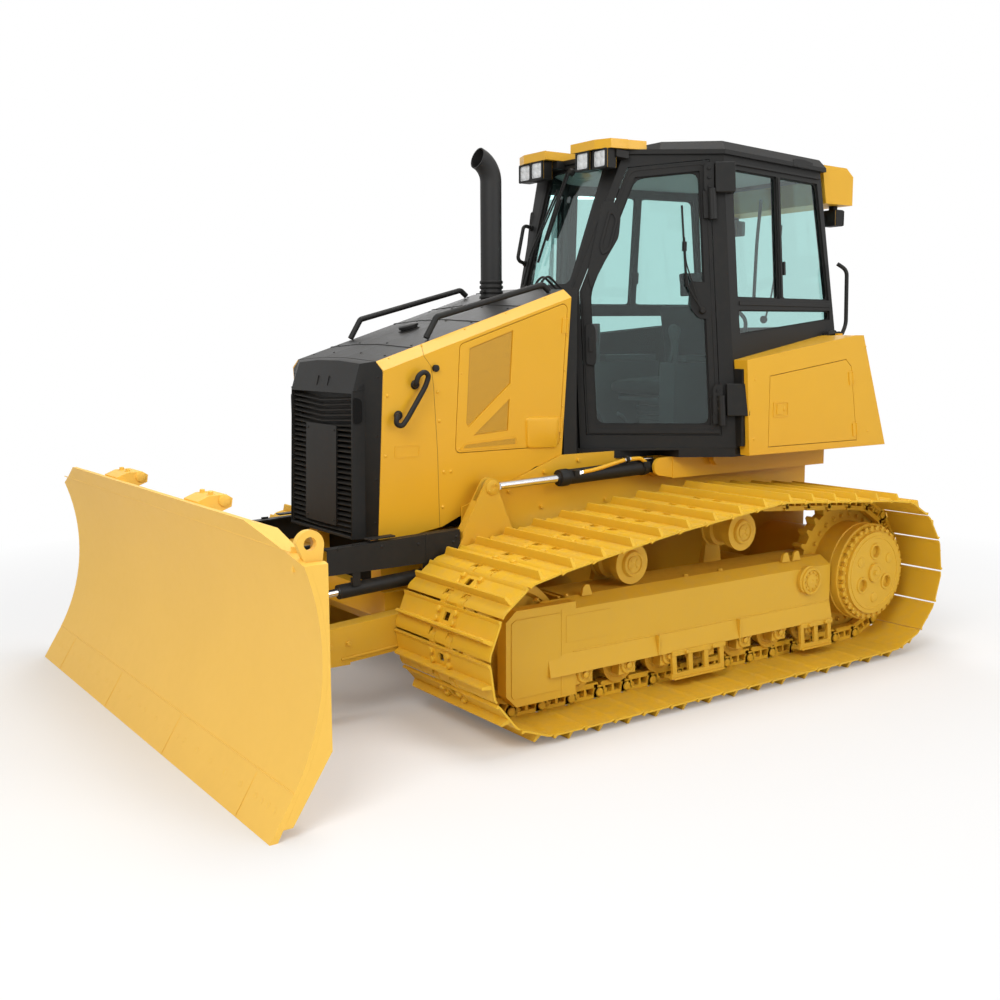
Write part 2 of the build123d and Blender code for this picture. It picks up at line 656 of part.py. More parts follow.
with BuildPart() as hood_top:
    with BuildSketch(Plane.YZ.offset(HOOD_FRONT_X)):
        edge_z = FOLD_FRONT_Z + HOOD_EDGE_RISE
        Polygon((HOOD_EDGE_Y, edge_z), (120, edge_z + HOOD_CROWN), (-120, edge_z + HOOD_CROWN),
                (-HOOD_EDGE_Y, edge_z), (-HOOD_EDGE_Y, edge_z - PANEL), (-120, edge_z + HOOD_CROWN - PANEL),
                (120, edge_z + HOOD_CROWN - PANEL), (HOOD_EDGE_Y, edge_z - PANEL), align=None)
    extrude(amount=(HOOD_FRONT_X - HOOD_REAR_X) * HOOD_RUN, dir=ALONG_HOOD)
    with BuildSketch(Plane.XY.offset(1700)):
        with Locations((217, 0)):
            Circle(66)
    extrude(amount=600, mode=Mode.SUBTRACT)
save(hood_top.part, "hood_top")

NOSE_FACE_HALF = 360
GRILLE_HALF = 326
GRILLE_BOTTOM = 935
GRILLE_TOP = 1625
with BuildPart() as nose_shell:
    shell_top = FOLD_FRONT_Z + HOOD_EDGE_RISE + HOOD_CROWN
    bottom_y = side_point(HOOD_FRONT_X, HOOD_BOTTOM_Z)[1]
    with BuildSketch(Plane.YZ.offset(HOOD_FRONT_X)):
        Polygon((bottom_y, HOOD_BOTTOM_Z), (FOLD_Y, FOLD_FRONT_Z), (HOOD_EDGE_Y, shell_top - HOOD_CROWN),
                (-HOOD_EDGE_Y, shell_top - HOOD_CROWN), (-FOLD_Y, FOLD_FRONT_Z), (-bottom_y, HOOD_BOTTOM_Z),
                align=None)
    with BuildSketch(Plane.YZ.offset(NOSE_FRONT_X)):
        Polygon((NOSE_FACE_HALF, HOOD_BOTTOM_Z), (NOSE_FACE_HALF + 20, FOLD_FRONT_Z - 60),
                (NOSE_FACE_HALF - 10, shell_top - 70), (10 - NOSE_FACE_HALF, shell_top - 70),
                (-NOSE_FACE_HALF - 20, FOLD_FRONT_Z - 60), (-NOSE_FACE_HALF, HOOD_BOTTOM_Z), align=None)
    loft(ruled=True)
    with BuildSketch(Plane.YZ.offset(HOOD_FRONT_X - 10)):
        with Locations((0, (GRILLE_BOTTOM + GRILLE_TOP) / 2)):
            Rectangle(2 * GRILLE_HALF, GRILLE_TOP - GRILLE_BOTTOM)
    extrude(amount=100, mode=Mode.SUBTRACT)
    # flanges that reach back to the radiator
    with BuildSketch(Plane.YZ.offset(1120)):
        with Locations((0, (GRILLE_BOTTOM + GRILLE_TOP) / 2)):
            Rectangle(2 * GRILLE_HALF + 40, GRILLE_TOP - GRILLE_BOTTOM + 40)
            Rectangle(2 * GRILLE_HALF, GRILLE_TOP - GRILLE_BOTTOM, mode=Mode.SUBTRACT)
    extrude(amount=HOOD_FRONT_X - 1120)
save(nose_shell.part, "nose_shell")

SLAT_COUNT = 17
with BuildPart() as grille:
    with BuildSketch(Plane.YZ.offset(1190)):
        for i in range(SLAT_COUNT):
            slat_z = GRILLE_BOTTOM + 40 + i * (GRILLE_TOP - GRILLE_BOTTOM - 45) / SLAT_COUNT
            Polygon((GRILLE_HALF - 10, slat_z), (0, slat_z - 24), (10 - GRILLE_HALF, slat_z),
                    (10 - GRILLE_HALF, slat_z + 10), (0, slat_z - 14), (GRILLE_HALF - 10, slat_z + 10), align=None)
        for side in (1, -1):
            with Locations((side * (GRILLE_HALF - 10), (GRILLE_BOTTOM + GRILLE_TOP) / 2)):
                Rectangle(20, GRILLE_TOP - GRILLE_BOTTOM)
    extrude(amount=30)
    with BuildSketch(Plane.YZ.offset(1220)):
        with Locations((0, 1230)):
            Rectangle(190, 470)
    extrude(amount=12)
save(grille.part, "grille")

STACK_X = 217
STACK_RADIUS = 60
with BuildPart() as exhaust_stack:
    with BuildLine(Plane.XZ):
        riser = Line((STACK_X, 1500), (STACK_X, 2745))
        JernArc(riser @ 1, riser % 1, 130, -72)
    with BuildSketch(Plane.XY.offset(1500)):
        with Locations((STACK_X, 0)):
            Circle(STACK_RADIUS)
            Circle(STACK_RADIUS - 6, mode=Mode.SUBTRACT)
    sweep()
save(exhaust_stack.part, "exhaust_stack")

RAIL_RADIUS = 16
RAIL_FOOT = 14.4
rail_top_z = FOLD_FRONT_Z + HOOD_EDGE_RISE
with BuildPart() as hood_handrails:
    for side in (1, -1):
        rail_y = side * 405
        with BuildLine():
            FilletPolyline((905, rail_y, rail_top_z + (HOOD_FRONT_X - 905) * FOLD_SLOPE + RAIL_FOOT),
                           (840, rail_y, rail_top_z + (HOOD_FRONT_X - 840) * FOLD_SLOPE + 100),
                           (160, rail_y, rail_top_z + (HOOD_FRONT_X - 160) * FOLD_SLOPE + 60),
                           (120, rail_y, rail_top_z + (HOOD_FRONT_X - 120) * FOLD_SLOPE + RAIL_FOOT), radius=28)
        with BuildSketch(Plane(origin=(905, rail_y, rail_top_z + (HOOD_FRONT_X - 905) * FOLD_SLOPE + RAIL_FOOT),
                               z_dir=(-65, 0, 92 + 65 * FOLD_SLOPE))):
            Circle(RAIL_RADIUS)
        sweep()
save(hood_handrails.part, "hood_handrails")

# ---------------------------------------------------------------- cab

DOOR_WALL = wall_plane((-229, 341, 1318), (-915, 830, 1320), (-875, 715, 2950))
QUARTER_WALL = wall_plane((-915, 830, 1320), (-2015, 600, 1930), (-875, 715, 2950))


def wall_point(plane, x, z):
    """Point of a cab wall's outer face at this x and z."""
    origin = plane.origin
    normal = plane.z_dir
    y = origin.Y - (normal.X * (x - origin.X) + normal.Z * (z - origin.Z)) / normal.Y
    return (x, y, z)


def on_wall(plane, points):
    return on_plane(plane, [wall_point(plane, x, z) for x, z in points])


cab_door_outline = [(-216, 1330), (-844, 1325), (-809, 2868), (-439, 2826), (-203, 2144)]
quarter_windows = [
    [(-975, 2105), (-1412, 2107), (-1412, 2825), (-960, 2825)],
    [(-1452, 2107), (-1980, 2110), (-1872, 2825), (-1452, 2825)],
    [(-985, 1895), (-1985, 1990), (-1985, 2045), (-980, 2035)]]
windshield_outline = [(-164, -238, 2150), (-164, 238, 2150), (-409, 285, ROOF_BOTTOM), (-409, -285, ROOF_BOTTOM)]
WINDSHIELD = wall_plane(*windshield_outline[:3])
FIREWALL_X = -165
COWL_FRONT_X = 30
COWL_TOP = 2130
COWL_HALF = 430
REAR_WALL = wall_plane((-2043, 598, 1900), (-2043, -598, 1900), (-1913, -545, 2900))
rear_wall_outline = [(-2043, 598, 1900), (-2043, -598, 1900), (-1913, -545, 2900), (-1913, 545, 2900)]
PILLAR = 50
WINDSHIELD_FRAME = 28
CORNER_SHEET = 16
REAR_FRAME = 28

corner = [windshield_outline[1], wall_point(DOOR_WALL, -172, 2160), wall_point(DOOR_WALL, -419, ROOF_BOTTOM),
          windshield_outline[2]]
CORNER_WALL = wall_plane(corner[0], corner[2], corner[3])

with BuildPart() as cab_half:
    # door wall with its opening
    with BuildSketch(DOOR_WALL):
        Polygon(*on_wall(DOOR_WALL, [(-184, CAB_FLOOR_TOP), (-918, CAB_FLOOR_TOP), (-874, ROOF_BOTTOM),
                                     (-419, ROOF_BOTTOM), (-172, 2160)]), align=None)
        with BuildSketch(mode=Mode.SUBTRACT):
            Polygon(*on_wall(DOOR_WALL, cab_door_outline), align=None)
            offset(amount=SEAM, kind=Kind.INTERSECTION)
    extrude(amount=-CAB_WALL)
    # rear quarter with its windows
    with BuildSketch(QUARTER_WALL):
        Polygon(*on_wall(QUARTER_WALL, [(-918, CAB_FLOOR_TOP), (-1985, CAB_FLOOR_TOP), (-2043, 1900),
                                        (-1913, ROOF_BOTTOM), (-874, ROOF_BOTTOM)]), align=None)
        for window in quarter_windows:
            Polygon(*on_wall(QUARTER_WALL, window), align=None, mode=Mode.SUBTRACT)
    extrude(amount=-CAB_WALL)
    # corner between the windshield and the door
    with BuildSketch(CORNER_WALL):
        Polygon(*on_plane(CORNER_WALL, corner), align=None)
    extrude(amount=-CORNER_SHEET)

with BuildPart() as cab_frame:
    add(cab_half.part)
    mirror(about=Plane.XZ)
    with BuildSketch(WINDSHIELD):
        Polygon(*on_plane(WINDSHIELD, windshield_outline), align=None)
        offset(amount=-WINDSHIELD_FRAME, kind=Kind.INTERSECTION, mode=Mode.SUBTRACT)
    extrude(amount=-CAB_WALL)
    with BuildSketch(REAR_WALL):
        Polygon(*on_plane(REAR_WALL, rear_wall_outline), align=None)
        offset(amount=-PILLAR, kind=Kind.INTERSECTION, mode=Mode.SUBTRACT)
    extrude(amount=-REAR_FRAME)
    # lower rear wall
    with BuildSketch(Plane.YZ.offset(-1985)):
        Polygon((-640, CAB_FLOOR_TOP), (640, CAB_FLOOR_TOP), (600, 1925), (-600, 1925), align=None)
    extrude(amount=CAB_WALL)
    # firewall and cowl under the windshield
    with BuildSketch(Plane.YZ.offset(FIREWALL_X)):
        Polygon((-296, CAB_FLOOR_TOP), (296, CAB_FLOOR_TOP), (248, COWL_TOP + 20), (-248, COWL_TOP + 20),
                align=None)
    extrude(amount=-30)
    cowl = [(COWL_FRONT_X, COWL_HALF), (-60, COWL_HALF), (FIREWALL_X + 1, 262)]
    with BuildSketch(Plane.XY.offset(COWL_TOP)):
        Polygon(*cowl, *[(x, -y) for x, y in reversed(cowl)], align=None)
    extrude(amount=20)
    for side in (1, -1):
        with BuildSketch(Plane.XY.offset(CAB_FLOOR_TOP)):
            sheet = cowl + [(FIREWALL_X + 1, 240), (-50, COWL_HALF - 22), (COWL_FRONT_X, COWL_HALF - 22)]
            Polygon(*[(x, side * y) for x, y in sheet], align=None)
        extrude(amount=COWL_TOP - CAB_FLOOR_TOP + 10)
    # nothing stands above the roof's seat or below the floor
    with BuildSketch(Plane.XY.offset(ROOF_BOTTOM)):
        Rectangle(6000, 3000)
    extrude(amount=200, mode=Mode.SUBTRACT)
    with BuildSketch(Plane.XY.offset(CAB_FLOOR_TOP)):
        Rectangle(6000, 3000)
    extrude(amount=-200, mode=Mode.SUBTRACT)
save(cab_frame.part, "cab_frame")

DOOR_FRAME = 55
HINGE_LIFT = 25
HINGE_LEAF = 50
PANE_GAP = 0.3
with BuildPart() as cab_door:
    with BuildSketch(DOOR_WALL):
        Polygon(*on_wall(DOOR_WALL, cab_door_outline), align=None)
        offset(amount=-DOOR_FRAME, kind=Kind.INTERSECTION, mode=Mode.SUBTRACT)
    extrude(amount=-CAB_WALL)
    # hinges at the rear edge
    hinge_a, hinge_b = on_wall(DOOR_WALL, [(-844 - SEAM, 1325), (-809 - SEAM, 2868)])
    for share in (0.09, 0.84):
        with BuildSketch(hinge_pin(DOOR_WALL, hinge_a, hinge_b, share, HINGE_LIFT)):
            Circle(HINGE_LIFT - 0.3)
        extrude(amount=85, both=True)
        with BuildSketch(DOOR_WALL):
            Polygon(*hinge_leaf(hinge_a, hinge_b, share, 150, HINGE_LEAF), align=None)
        extrude(amount=HINGE_LIFT)
save_pair(cab_door.part, "cab_door")

with BuildPart() as door_glass:
    with BuildSketch(DOOR_WALL.offset(-18)):
        Polygon(*on_wall(DOOR_WALL, cab_door_outline), align=None)
        offset(amount=-DOOR_FRAME - PANE_GAP, kind=Kind.INTERSECTION, mode=Mode.REPLACE)
    extrude(amount=-GLASS)
save_pair(door_glass.part, "door_glass")

with BuildPart() as quarter_glass:
    with BuildSketch(QUARTER_WALL.offset(-18)):
        for window in quarter_windows:
            with BuildSketch():
                Polygon(*on_wall(QUARTER_WALL, window), align=None)
                offset(amount=-PANE_GAP, kind=Kind.INTERSECTION, mode=Mode.REPLACE)
    extrude(amount=-GLASS)

with BuildPart() as cab_windows:
    add(quarter_glass.part)
    mirror(about=Plane.XZ)
    with BuildSketch(WINDSHIELD.offset(-18)):
        Polygon(*on_plane(WINDSHIELD, windshield_outline), align=None)
        offset(amount=-WINDSHIELD_FRAME - PANE_GAP, kind=Kind.INTERSECTION, mode=Mode.REPLACE)
    extrude(amount=-GLASS)
    with BuildSketch(REAR_WALL.offset(-18)):
        Polygon(*on_plane(REAR_WALL, rear_wall_outline), align=None)
        offset(amount=-PILLAR - PANE_GAP, kind=Kind.INTERSECTION, mode=Mode.REPLACE)
    extrude(amount=-GLASS)
save(cab_windows.part, "cab_windows")

FLOOR_RECESS = 42
with BuildPart() as cab_floor:
    with BuildSketch(Plane.XY.offset(DECK_TOP)):
        floor_half = [(COWL_FRONT_X, COWL_HALF), (-60, COWL_HALF), (-150, 330), (-915, 825), (-1985, 640)]
        Polygon(*floor_half, *[(x, -y) for x, y in reversed(floor_half)], align=None)
    extrude(amount=CAB_FLOOR_TOP - DECK_TOP)
    # the lift cylinders swing up into two recesses in the floor's underside
    for side in (1, -1):
        with BuildSketch(Plane.XY.offset(DECK_TOP)):
            with Locations((-300, side * (LIFT_Y + 80))):
                Rectangle(680, 280)
        extrude(amount=FLOOR_RECESS, mode=Mode.SUBTRACT)
save(cab_floor.part, "cab_floor")

with BuildPart() as roof:
    with BuildSketch(Plane.XY.offset(ROOF_BOTTOM)):
        Polygon((-395, 392), (-872, 738), (-1945, 566), (-1945, -566), (-872, -738), (-395, -392), align=None)
    extrude(amount=ROOF_STEP - ROOF_BOTTOM)
    with BuildSketch(Plane.XY.offset(ROOF_STEP)):
        Polygon((-590, 500), (-872, 738), (-1945, 566), (-1945, -566), (-872, -738), (-590, -500), align=None)
    extrude(amount=ROOF_TOP - ROOF_STEP, taper=35)
save(roof.part, "roof")

POD_HEIGHT = 48
LAMP_SIZE = 112
with BuildPart() as work_lights:
    for side in (1, -1):
        with BuildSketch(Plane.XY.offset(ROOF_STEP)):
            pod = [(-262, 120), (-262, 330), (-300, 425), (-530, 462), (-560, 120)]
            Polygon(*[(x, side * y) for x, y in pod], align=None)
        extrude(amount=POD_HEIGHT)
        for lamp_x, lamp_y in ((-308, 215), (-322, 350)):
            with BuildSketch(Plane.XY.offset(ROOF_STEP + 8)):
                with Locations((lamp_x, side * lamp_y)):
                    Rectangle(66, LAMP_SIZE)
            extrude(amount=-LAMP_SIZE)
save(work_lights.part, "work_lights")

# ---------------------------------------------------------------- rear of the machine

FENDER_OUT = 900
FENDER_FRONT_X = -930
FENDER_BOTTOM = 1206
FENDER_REAR_X = -2310
FENDER_TOP = 1890
FENDER_DOOR = 20
fender_door_outline = [(-1110, 1250), (-1110, 1655), (-1780, 1742), (-1830, 1700), (-1905, 1250)]
FENDER_SIDE = side_plane(FENDER_OUT)

with BuildPart() as fender:
    with BuildSketch(Plane.XY.offset(FENDER_BOTTOM)):
        Polygon((FENDER_FRONT_X - 22, 600), (FENDER_FRONT_X - 22, FENDER_OUT), (-2190, FENDER_OUT),
                (FENDER_REAR_X, 805), (FENDER_REAR_X, 642), (-1990, 642), align=None)
    with BuildSketch(Plane.XY.offset(FENDER_TOP)):
        Polygon((FENDER_FRONT_X + 22, 600), (FENDER_FRONT_X + 22, FENDER_OUT), (-1940, FENDER_OUT),
                (-2062, 805), (-2062, 642), (-2048, 642), align=None)
    loft(ruled=True)
    # the top falls towards the front
    with BuildSketch(side_plane(FENDER_OUT + 10)):
        Polygon((FENDER_FRONT_X + 100, 1738), (FENDER_FRONT_X + 100, 2000), (-2400, 2000), (-2400, 1890),
                (-1872, 1890), align=None)
    extrude(amount=400, mode=Mode.SUBTRACT)
    with BuildSketch(QUARTER_WALL.offset(0.3)):
        Rectangle(5000, 5000)
    extrude(amount=-700, mode=Mode.SUBTRACT)
    with BuildSketch(FENDER_SIDE):
        Polygon(*fender_door_outline, align=None)
        offset(amount=SEAM, kind=Kind.INTERSECTION)
    extrude(amount=FENDER_DOOR + 2, mode=Mode.SUBTRACT)
    with BuildSketch(FENDER_SIDE):
        Polygon(*fender_door_outline, align=None)
        offset(amount=-30, kind=Kind.INTERSECTION, mode=Mode.REPLACE)
    extrude(amount=70, mode=Mode.SUBTRACT)
save_pair(fender.part, "fender")

with BuildPart() as fender_door:
    with BuildSketch(FENDER_SIDE):
        Polygon(*fender_door_outline, align=None)
    extrude(amount=FENDER_DOOR)
    # hinges at the rear edge
    hinge_a, hinge_b = (-1905 - SEAM, 1250), (-1830 - SEAM, 1700)
    for share in (0.15, 0.85):
        with BuildSketch(hinge_pin(FENDER_SIDE, hinge_a, hinge_b, share, -SMALL_HINGE)):
            Circle(SMALL_HINGE - 0.3)
        extrude(amount=40, both=True)
        with BuildSketch(FENDER_SIDE):
            Polygon(*hinge_leaf(hinge_a, hinge_b, share, 80, -34), align=None)
        extrude(amount=-SMALL_HINGE)
save_pair(fender_door.part, "fender_door")

with BuildPart() as rear_tank:
    with BuildSketch(side_plane(641.7)):
        Polygon((-1987, FENDER_BOTTOM), (FENDER_REAR_X, FENDER_BOTTOM), (-2062, FENDER_TOP), (-2048, FENDER_TOP),
                (-2047, 1895), (-2046, 1895), (-1990, 1240), align=None)
    extrude(amount=1283.4)
save(rear_tank.part, "rear_tank")

with BuildPart() as rear_roof_unit:
    with BuildSketch(Plane.XZ.offset(-520)):
        Polygon((-1945.3, 2905), (-1945.3, 2955), (-2200, 2950), (-2268, 2900), (-2268, 2720), (-2010, 2720),
                (-1975, 2905), align=None)
    extrude(amount=1040)
    for lamp_y in (430, -430):
        with BuildSketch(Plane.XY.offset(2722)):
            with Locations((-2190, lamp_y)):
                Rectangle(26, 26)
        extrude(amount=-40)
        with BuildSketch(Plane.XY.offset(2690)):
            with Locations((-2190, lamp_y)):
                Rectangle(70, 100)
        extrude(amount=-95)
save(rear_roof_unit.part, "rear_roof_unit")

# grab handle on the right front pillar
HANDLE_RADIUS = 11
HANDLE_STAND = 60
handle_ends = on_plane(CORNER_WALL, [(-300, 300, 2540), (-226, 268, 2325)])
handle_path = [CORNER_WALL.from_local_coords(Vector(x, y, z)) for (x, y), z in zip(
    (handle_ends[0], handle_ends[0], handle_ends[1], handle_ends[1]), (6, HANDLE_STAND, HANDLE_STAND, 6))]
with BuildPart() as pillar_handle:
    with BuildSketch(CORNER_WALL.offset(0.3)):
        with Locations(*handle_ends):
            Circle(17)
    extrude(amount=10)
    with BuildLine():
        FilletPolyline(*handle_path, radius=28)
    with BuildSketch(Plane(origin=handle_path[0], z_dir=CORNER_WALL.z_dir)):
        Circle(HANDLE_RADIUS)
    sweep()
save(mirror(pillar_handle.part, about=Plane.XZ), "pillar_handle")

# ---------------------------------------------------------------- operator's place

with BuildPart() as operator_seat:
    with BuildSketch(Plane.XY.offset(CAB_FLOOR_TOP)):
        with Locations((-1150, 0)):
            Rectangle(360, 360)
    extrude(amount=260)
    with BuildSketch(Plane.XY.offset(CAB_FLOOR_TOP + 260)):
        with Locations((-1120, 0)):
            RectangleRounded(520, 500, 60)
    extrude(amount=130)
    with BuildSketch(side_plane(240)):
        Polygon((-1370, CAB_FLOOR_TOP + 260), (-1250, CAB_FLOOR_TOP + 260), (-1330, CAB_FLOOR_TOP + 860),
                (-1430, CAB_FLOOR_TOP + 860), align=None)
    extrude(amount=480)
    with BuildSketch(side_plane(140)):
        Polygon((-1425, CAB_FLOOR_TOP + 860), (-1340, CAB_FLOOR_TOP + 860), (-1360, CAB_FLOOR_TOP + 1050),
                (-1440, CAB_FLOOR_TOP + 1050), align=None)
    extrude(amount=280)
save(operator_seat.part, "operator_seat")

with BuildPart() as controls:
    with BuildSketch(side_plane(230)):
        Polygon((FIREWALL_X - 31, CAB_FLOOR_TOP), (FIREWALL_X - 31, 1960), (-290, 1990), (-400, 1900),
                (-370, CAB_FLOOR_TOP), align=None)
    extrude(amount=460)
    for side in (1, -1):
        with BuildSketch(Plane.XY.offset(CAB_FLOOR_TOP)):
            with Locations((-1080, side * 370)):
                Rectangle(560, 130)
        extrude(amount=480)
        with BuildSketch(Plane.XY.offset(CAB_FLOOR_TOP + 480)):
            with Locations((-860, side * 370)):
                Circle(22)
        extrude(amount=150)
        with BuildSketch(Plane.XY.offset(CAB_FLOOR_TOP + 630)):
            with Locations((-860, side * 370)):
                Circle(32)
        extrude(amount=60)
save(controls.part, "controls")

# ---------------------------------------------------------------- push frame

PUSH_TOP_REAR = TRUNNION_Z + 98
PUSH_TOP_FRONT = 480
PUSH_BOTTOM_FRONT = 297
CROSS_TOP = 478


def arm_top(x):
    """Height of the push arms' top edge."""
    return PUSH_TOP_REAR + (PUSH_TOP_FRONT - PUSH_TOP_REAR) * (x - TRUNNION_X) / (1620 - TRUNNION_X)


with BuildPart() as push_frame:
    for side in (1, -1):
        with BuildSketch(side_plane(side * PUSH_ARM_OUT)):
            Polygon((TRUNNION_X, PUSH_TOP_REAR), (1620, PUSH_TOP_FRONT), (1620, PUSH_BOTTOM_FRONT),
                    (TRUNNION_X, TRUNNION_Z - 98), align=None)
            with Locations((TRUNNION_X, TRUNNION_Z)):
                Circle(98)
                Circle(TRUNNION_RADIUS + RUN_GAP, mode=Mode.SUBTRACT)
        extrude(amount=side * (PUSH_ARM_OUT - PUSH_ARM_IN))
        # lift bracket
        for plate_y in (LIFT_Y + BRACKET_GAP / 2 + BRACKET_PLATE, LIFT_Y - BRACKET_GAP / 2):
            with BuildSketch(side_plane(side * plate_y)):
                Polygon((556, 1081), (435, 794), (415, 560), (772, 530), (784, 891), (642, 1132), align=None)
                with Locations((BRACKET_PIN_X, BRACKET_PIN_Z)):
                    Circle(50)
            extrude(amount=side * BRACKET_PLATE)
        with BuildSketch(side_plane(side * (LIFT_Y + BRACKET_GAP / 2 + 1))):
            Polygon((694, 1042), (784, 888), (772, 535), (758, 535), (768, 884), (680, 1036), align=None)
        extrude(amount=side * (BRACKET_GAP + 2))
        # ears and pin of the angle cylinder's barrel
        for ear_y in (PUSH_ARM_OUT, PUSH_ARM_IN + 7):
            with BuildSketch(side_plane(side * ear_y)):
                Polygon((ANGLE_BASE_X - 55, arm_top(800) - 10), (ANGLE_BASE_X + 75, arm_top(900) - 10),
                        (ANGLE_BASE_X + 32, ANGLE_BASE_Z), (ANGLE_BASE_X - 32, ANGLE_BASE_Z), align=None)
                with Locations((ANGLE_BASE_X, ANGLE_BASE_Z)):
                    Circle(32)
            extrude(amount=side * 9)
        with BuildSketch(side_plane(side * PUSH_ARM_OUT)):
            with Locations((ANGLE_BASE_X, ANGLE_BASE_Z)):
                Circle(CYLINDER_PIN_RADIUS)
        extrude(amount=side * (PUSH_ARM_OUT - PUSH_ARM_IN + 2))
    with BuildSketch(Plane.XY.offset(PUSH_BOTTOM_FRONT)):
        half = [(1450, PUSH_ARM_OUT), (1640, PUSH_ARM_OUT), (1812, 110)]
        inner = [(1690, 120), (1560, PUSH_ARM_IN - 5), (1450, PUSH_ARM_IN)]
        Polygon(*half, *[(x, -y) for x, y in reversed(half)], *[(x, -y) for x, y in reversed(inner)], *inner,
                align=None)
    extrude(amount=CROSS_TOP - PUSH_BOTTOM_FRONT)
    # nose fork with its upright pin
    for plate_z in (NOSE_LOW, NOSE_HIGH - NOSE_PLATE):
        with BuildSketch(Plane.XY.offset(plate_z)):
            with Locations(((1700 + NOSE_PIN_X) / 2, 0)):
                Rectangle(NOSE_PIN_X - 1700, 2 * NOSE_RADIUS)
            with Locations((NOSE_PIN_X, 0)):
                Circle(NOSE_RADIUS)
        extrude(amount=NOSE_PLATE)
    with BuildSketch(Plane.XY.offset(NOSE_LOW)):
        with Locations((NOSE_PIN_X, 0)):
            Circle(NOSE_PIN_RADIUS)
    extrude(amount=NOSE_HIGH - NOSE_LOW + 12)
save(push_frame.part, "push_frame")

with BuildPart() as blade_pivot:
    with BuildSketch(Plane.XY.offset(NOSE_LOW + NOSE_PLATE + 1)):
        with Locations((NOSE_PIN_X, 0)):
            Circle(80)
        with Locations(((NOSE_PIN_X + TOWER_X + TOWER_THICKNESS) / 2, 0)):
            Rectangle(TOWER_X + TOWER_THICKNESS - NOSE_PIN_X, 140)
        with Locations((NOSE_PIN_X, 0)):
            Circle(NOSE_PIN_RADIUS + RUN_GAP, mode=Mode.SUBTRACT)
    extrude(amount=NOSE_HIGH - NOSE_LOW - 2 * NOSE_PLATE - 2)
    with BuildSketch(Plane.YZ.offset(TOWER_X)):
        Polygon((-70, 350), (70, 350), (100, 840), (100, 900), (10, 900), (-30, 700), align=None)
        with Locations((0, TILT_Z)):
            Circle(TILT_SHAFT_RADIUS)
    extrude(amount=TOWER_THICKNESS)
    with BuildSketch(Plane.YZ.offset(TOWER_X + TOWER_THICKNESS)):
        with Locations((0, TILT_Z)):
            Circle(TILT_SHAFT_RADIUS)
    extrude(amount=62)
    with BuildSketch(Plane.YZ.offset(TOWER_X)):
        with Locations((TILT_BASE_Y, TILT_CYLINDER_Z)):
            Circle(CYLINDER_PIN_RADIUS)
    extrude(amount=-(TOWER_X - TILT_CYLINDER_X + 38))
save(blade_pivot.part, "blade_pivot")

# ---------------------------------------------------------------- blade

BLADE_HALF = BLADE_WIDTH / 2
BACK_X = 2062
BACK_FACETS = 20
SEATED = 0.3


def back_points(behind):
    """Points from top to bottom along the moldboard's back, moved this far behind the face."""
    edge = ThreePointArc((BLADE_TOP_X - behind, BLADE_TOP), (BLADE_HOLLOW_X - behind, BLADE_HOLLOW_Z),
                         (EDGE_TOP_X - behind, EDGE_TOP_Z))
    points = [edge @ (i / BACK_FACETS) for i in range(BACK_FACETS + 1)]
    return [(point.X, point.Y) for point in points]


board_back = back_points(MOLDBOARD_THICKNESS)
frame_front = back_points(MOLDBOARD_THICKNESS + SEATED)
corner_slope = SHOULDER_DROP / (BLADE_HALF - SHOULDER_Y)
corner_trim = [(SHOULDER_Y, BLADE_TOP), (SHOULDER_Y, BLADE_TOP + 200), (BLADE_HALF + 100, BLADE_TOP + 200),
               (BLADE_HALF + 100, BLADE_TOP - corner_slope * (BLADE_HALF + 100 - SHOULDER_Y))]

with BuildPart() as blade:
    with BuildSketch(side_plane(BLADE_HALF)):
        with BuildLine():
            face = ThreePointArc((EDGE_TOP_X, EDGE_TOP_Z), (BLADE_HOLLOW_X, BLADE_HOLLOW_Z), (BLADE_TOP_X, BLADE_TOP))
            Polyline(face @ 1, *board_back, face @ 0)
        make_face()
    extrude(amount=BLADE_WIDTH)
    # the upper corners are trimmed
    with BuildSketch(Plane.YZ.offset(2000)):
        for side in (1, -1):
            Polygon(*[(side * y, z) for y, z in corner_trim], align=None)
    extrude(amount=500, mode=Mode.SUBTRACT)
save(blade.part, "blade")

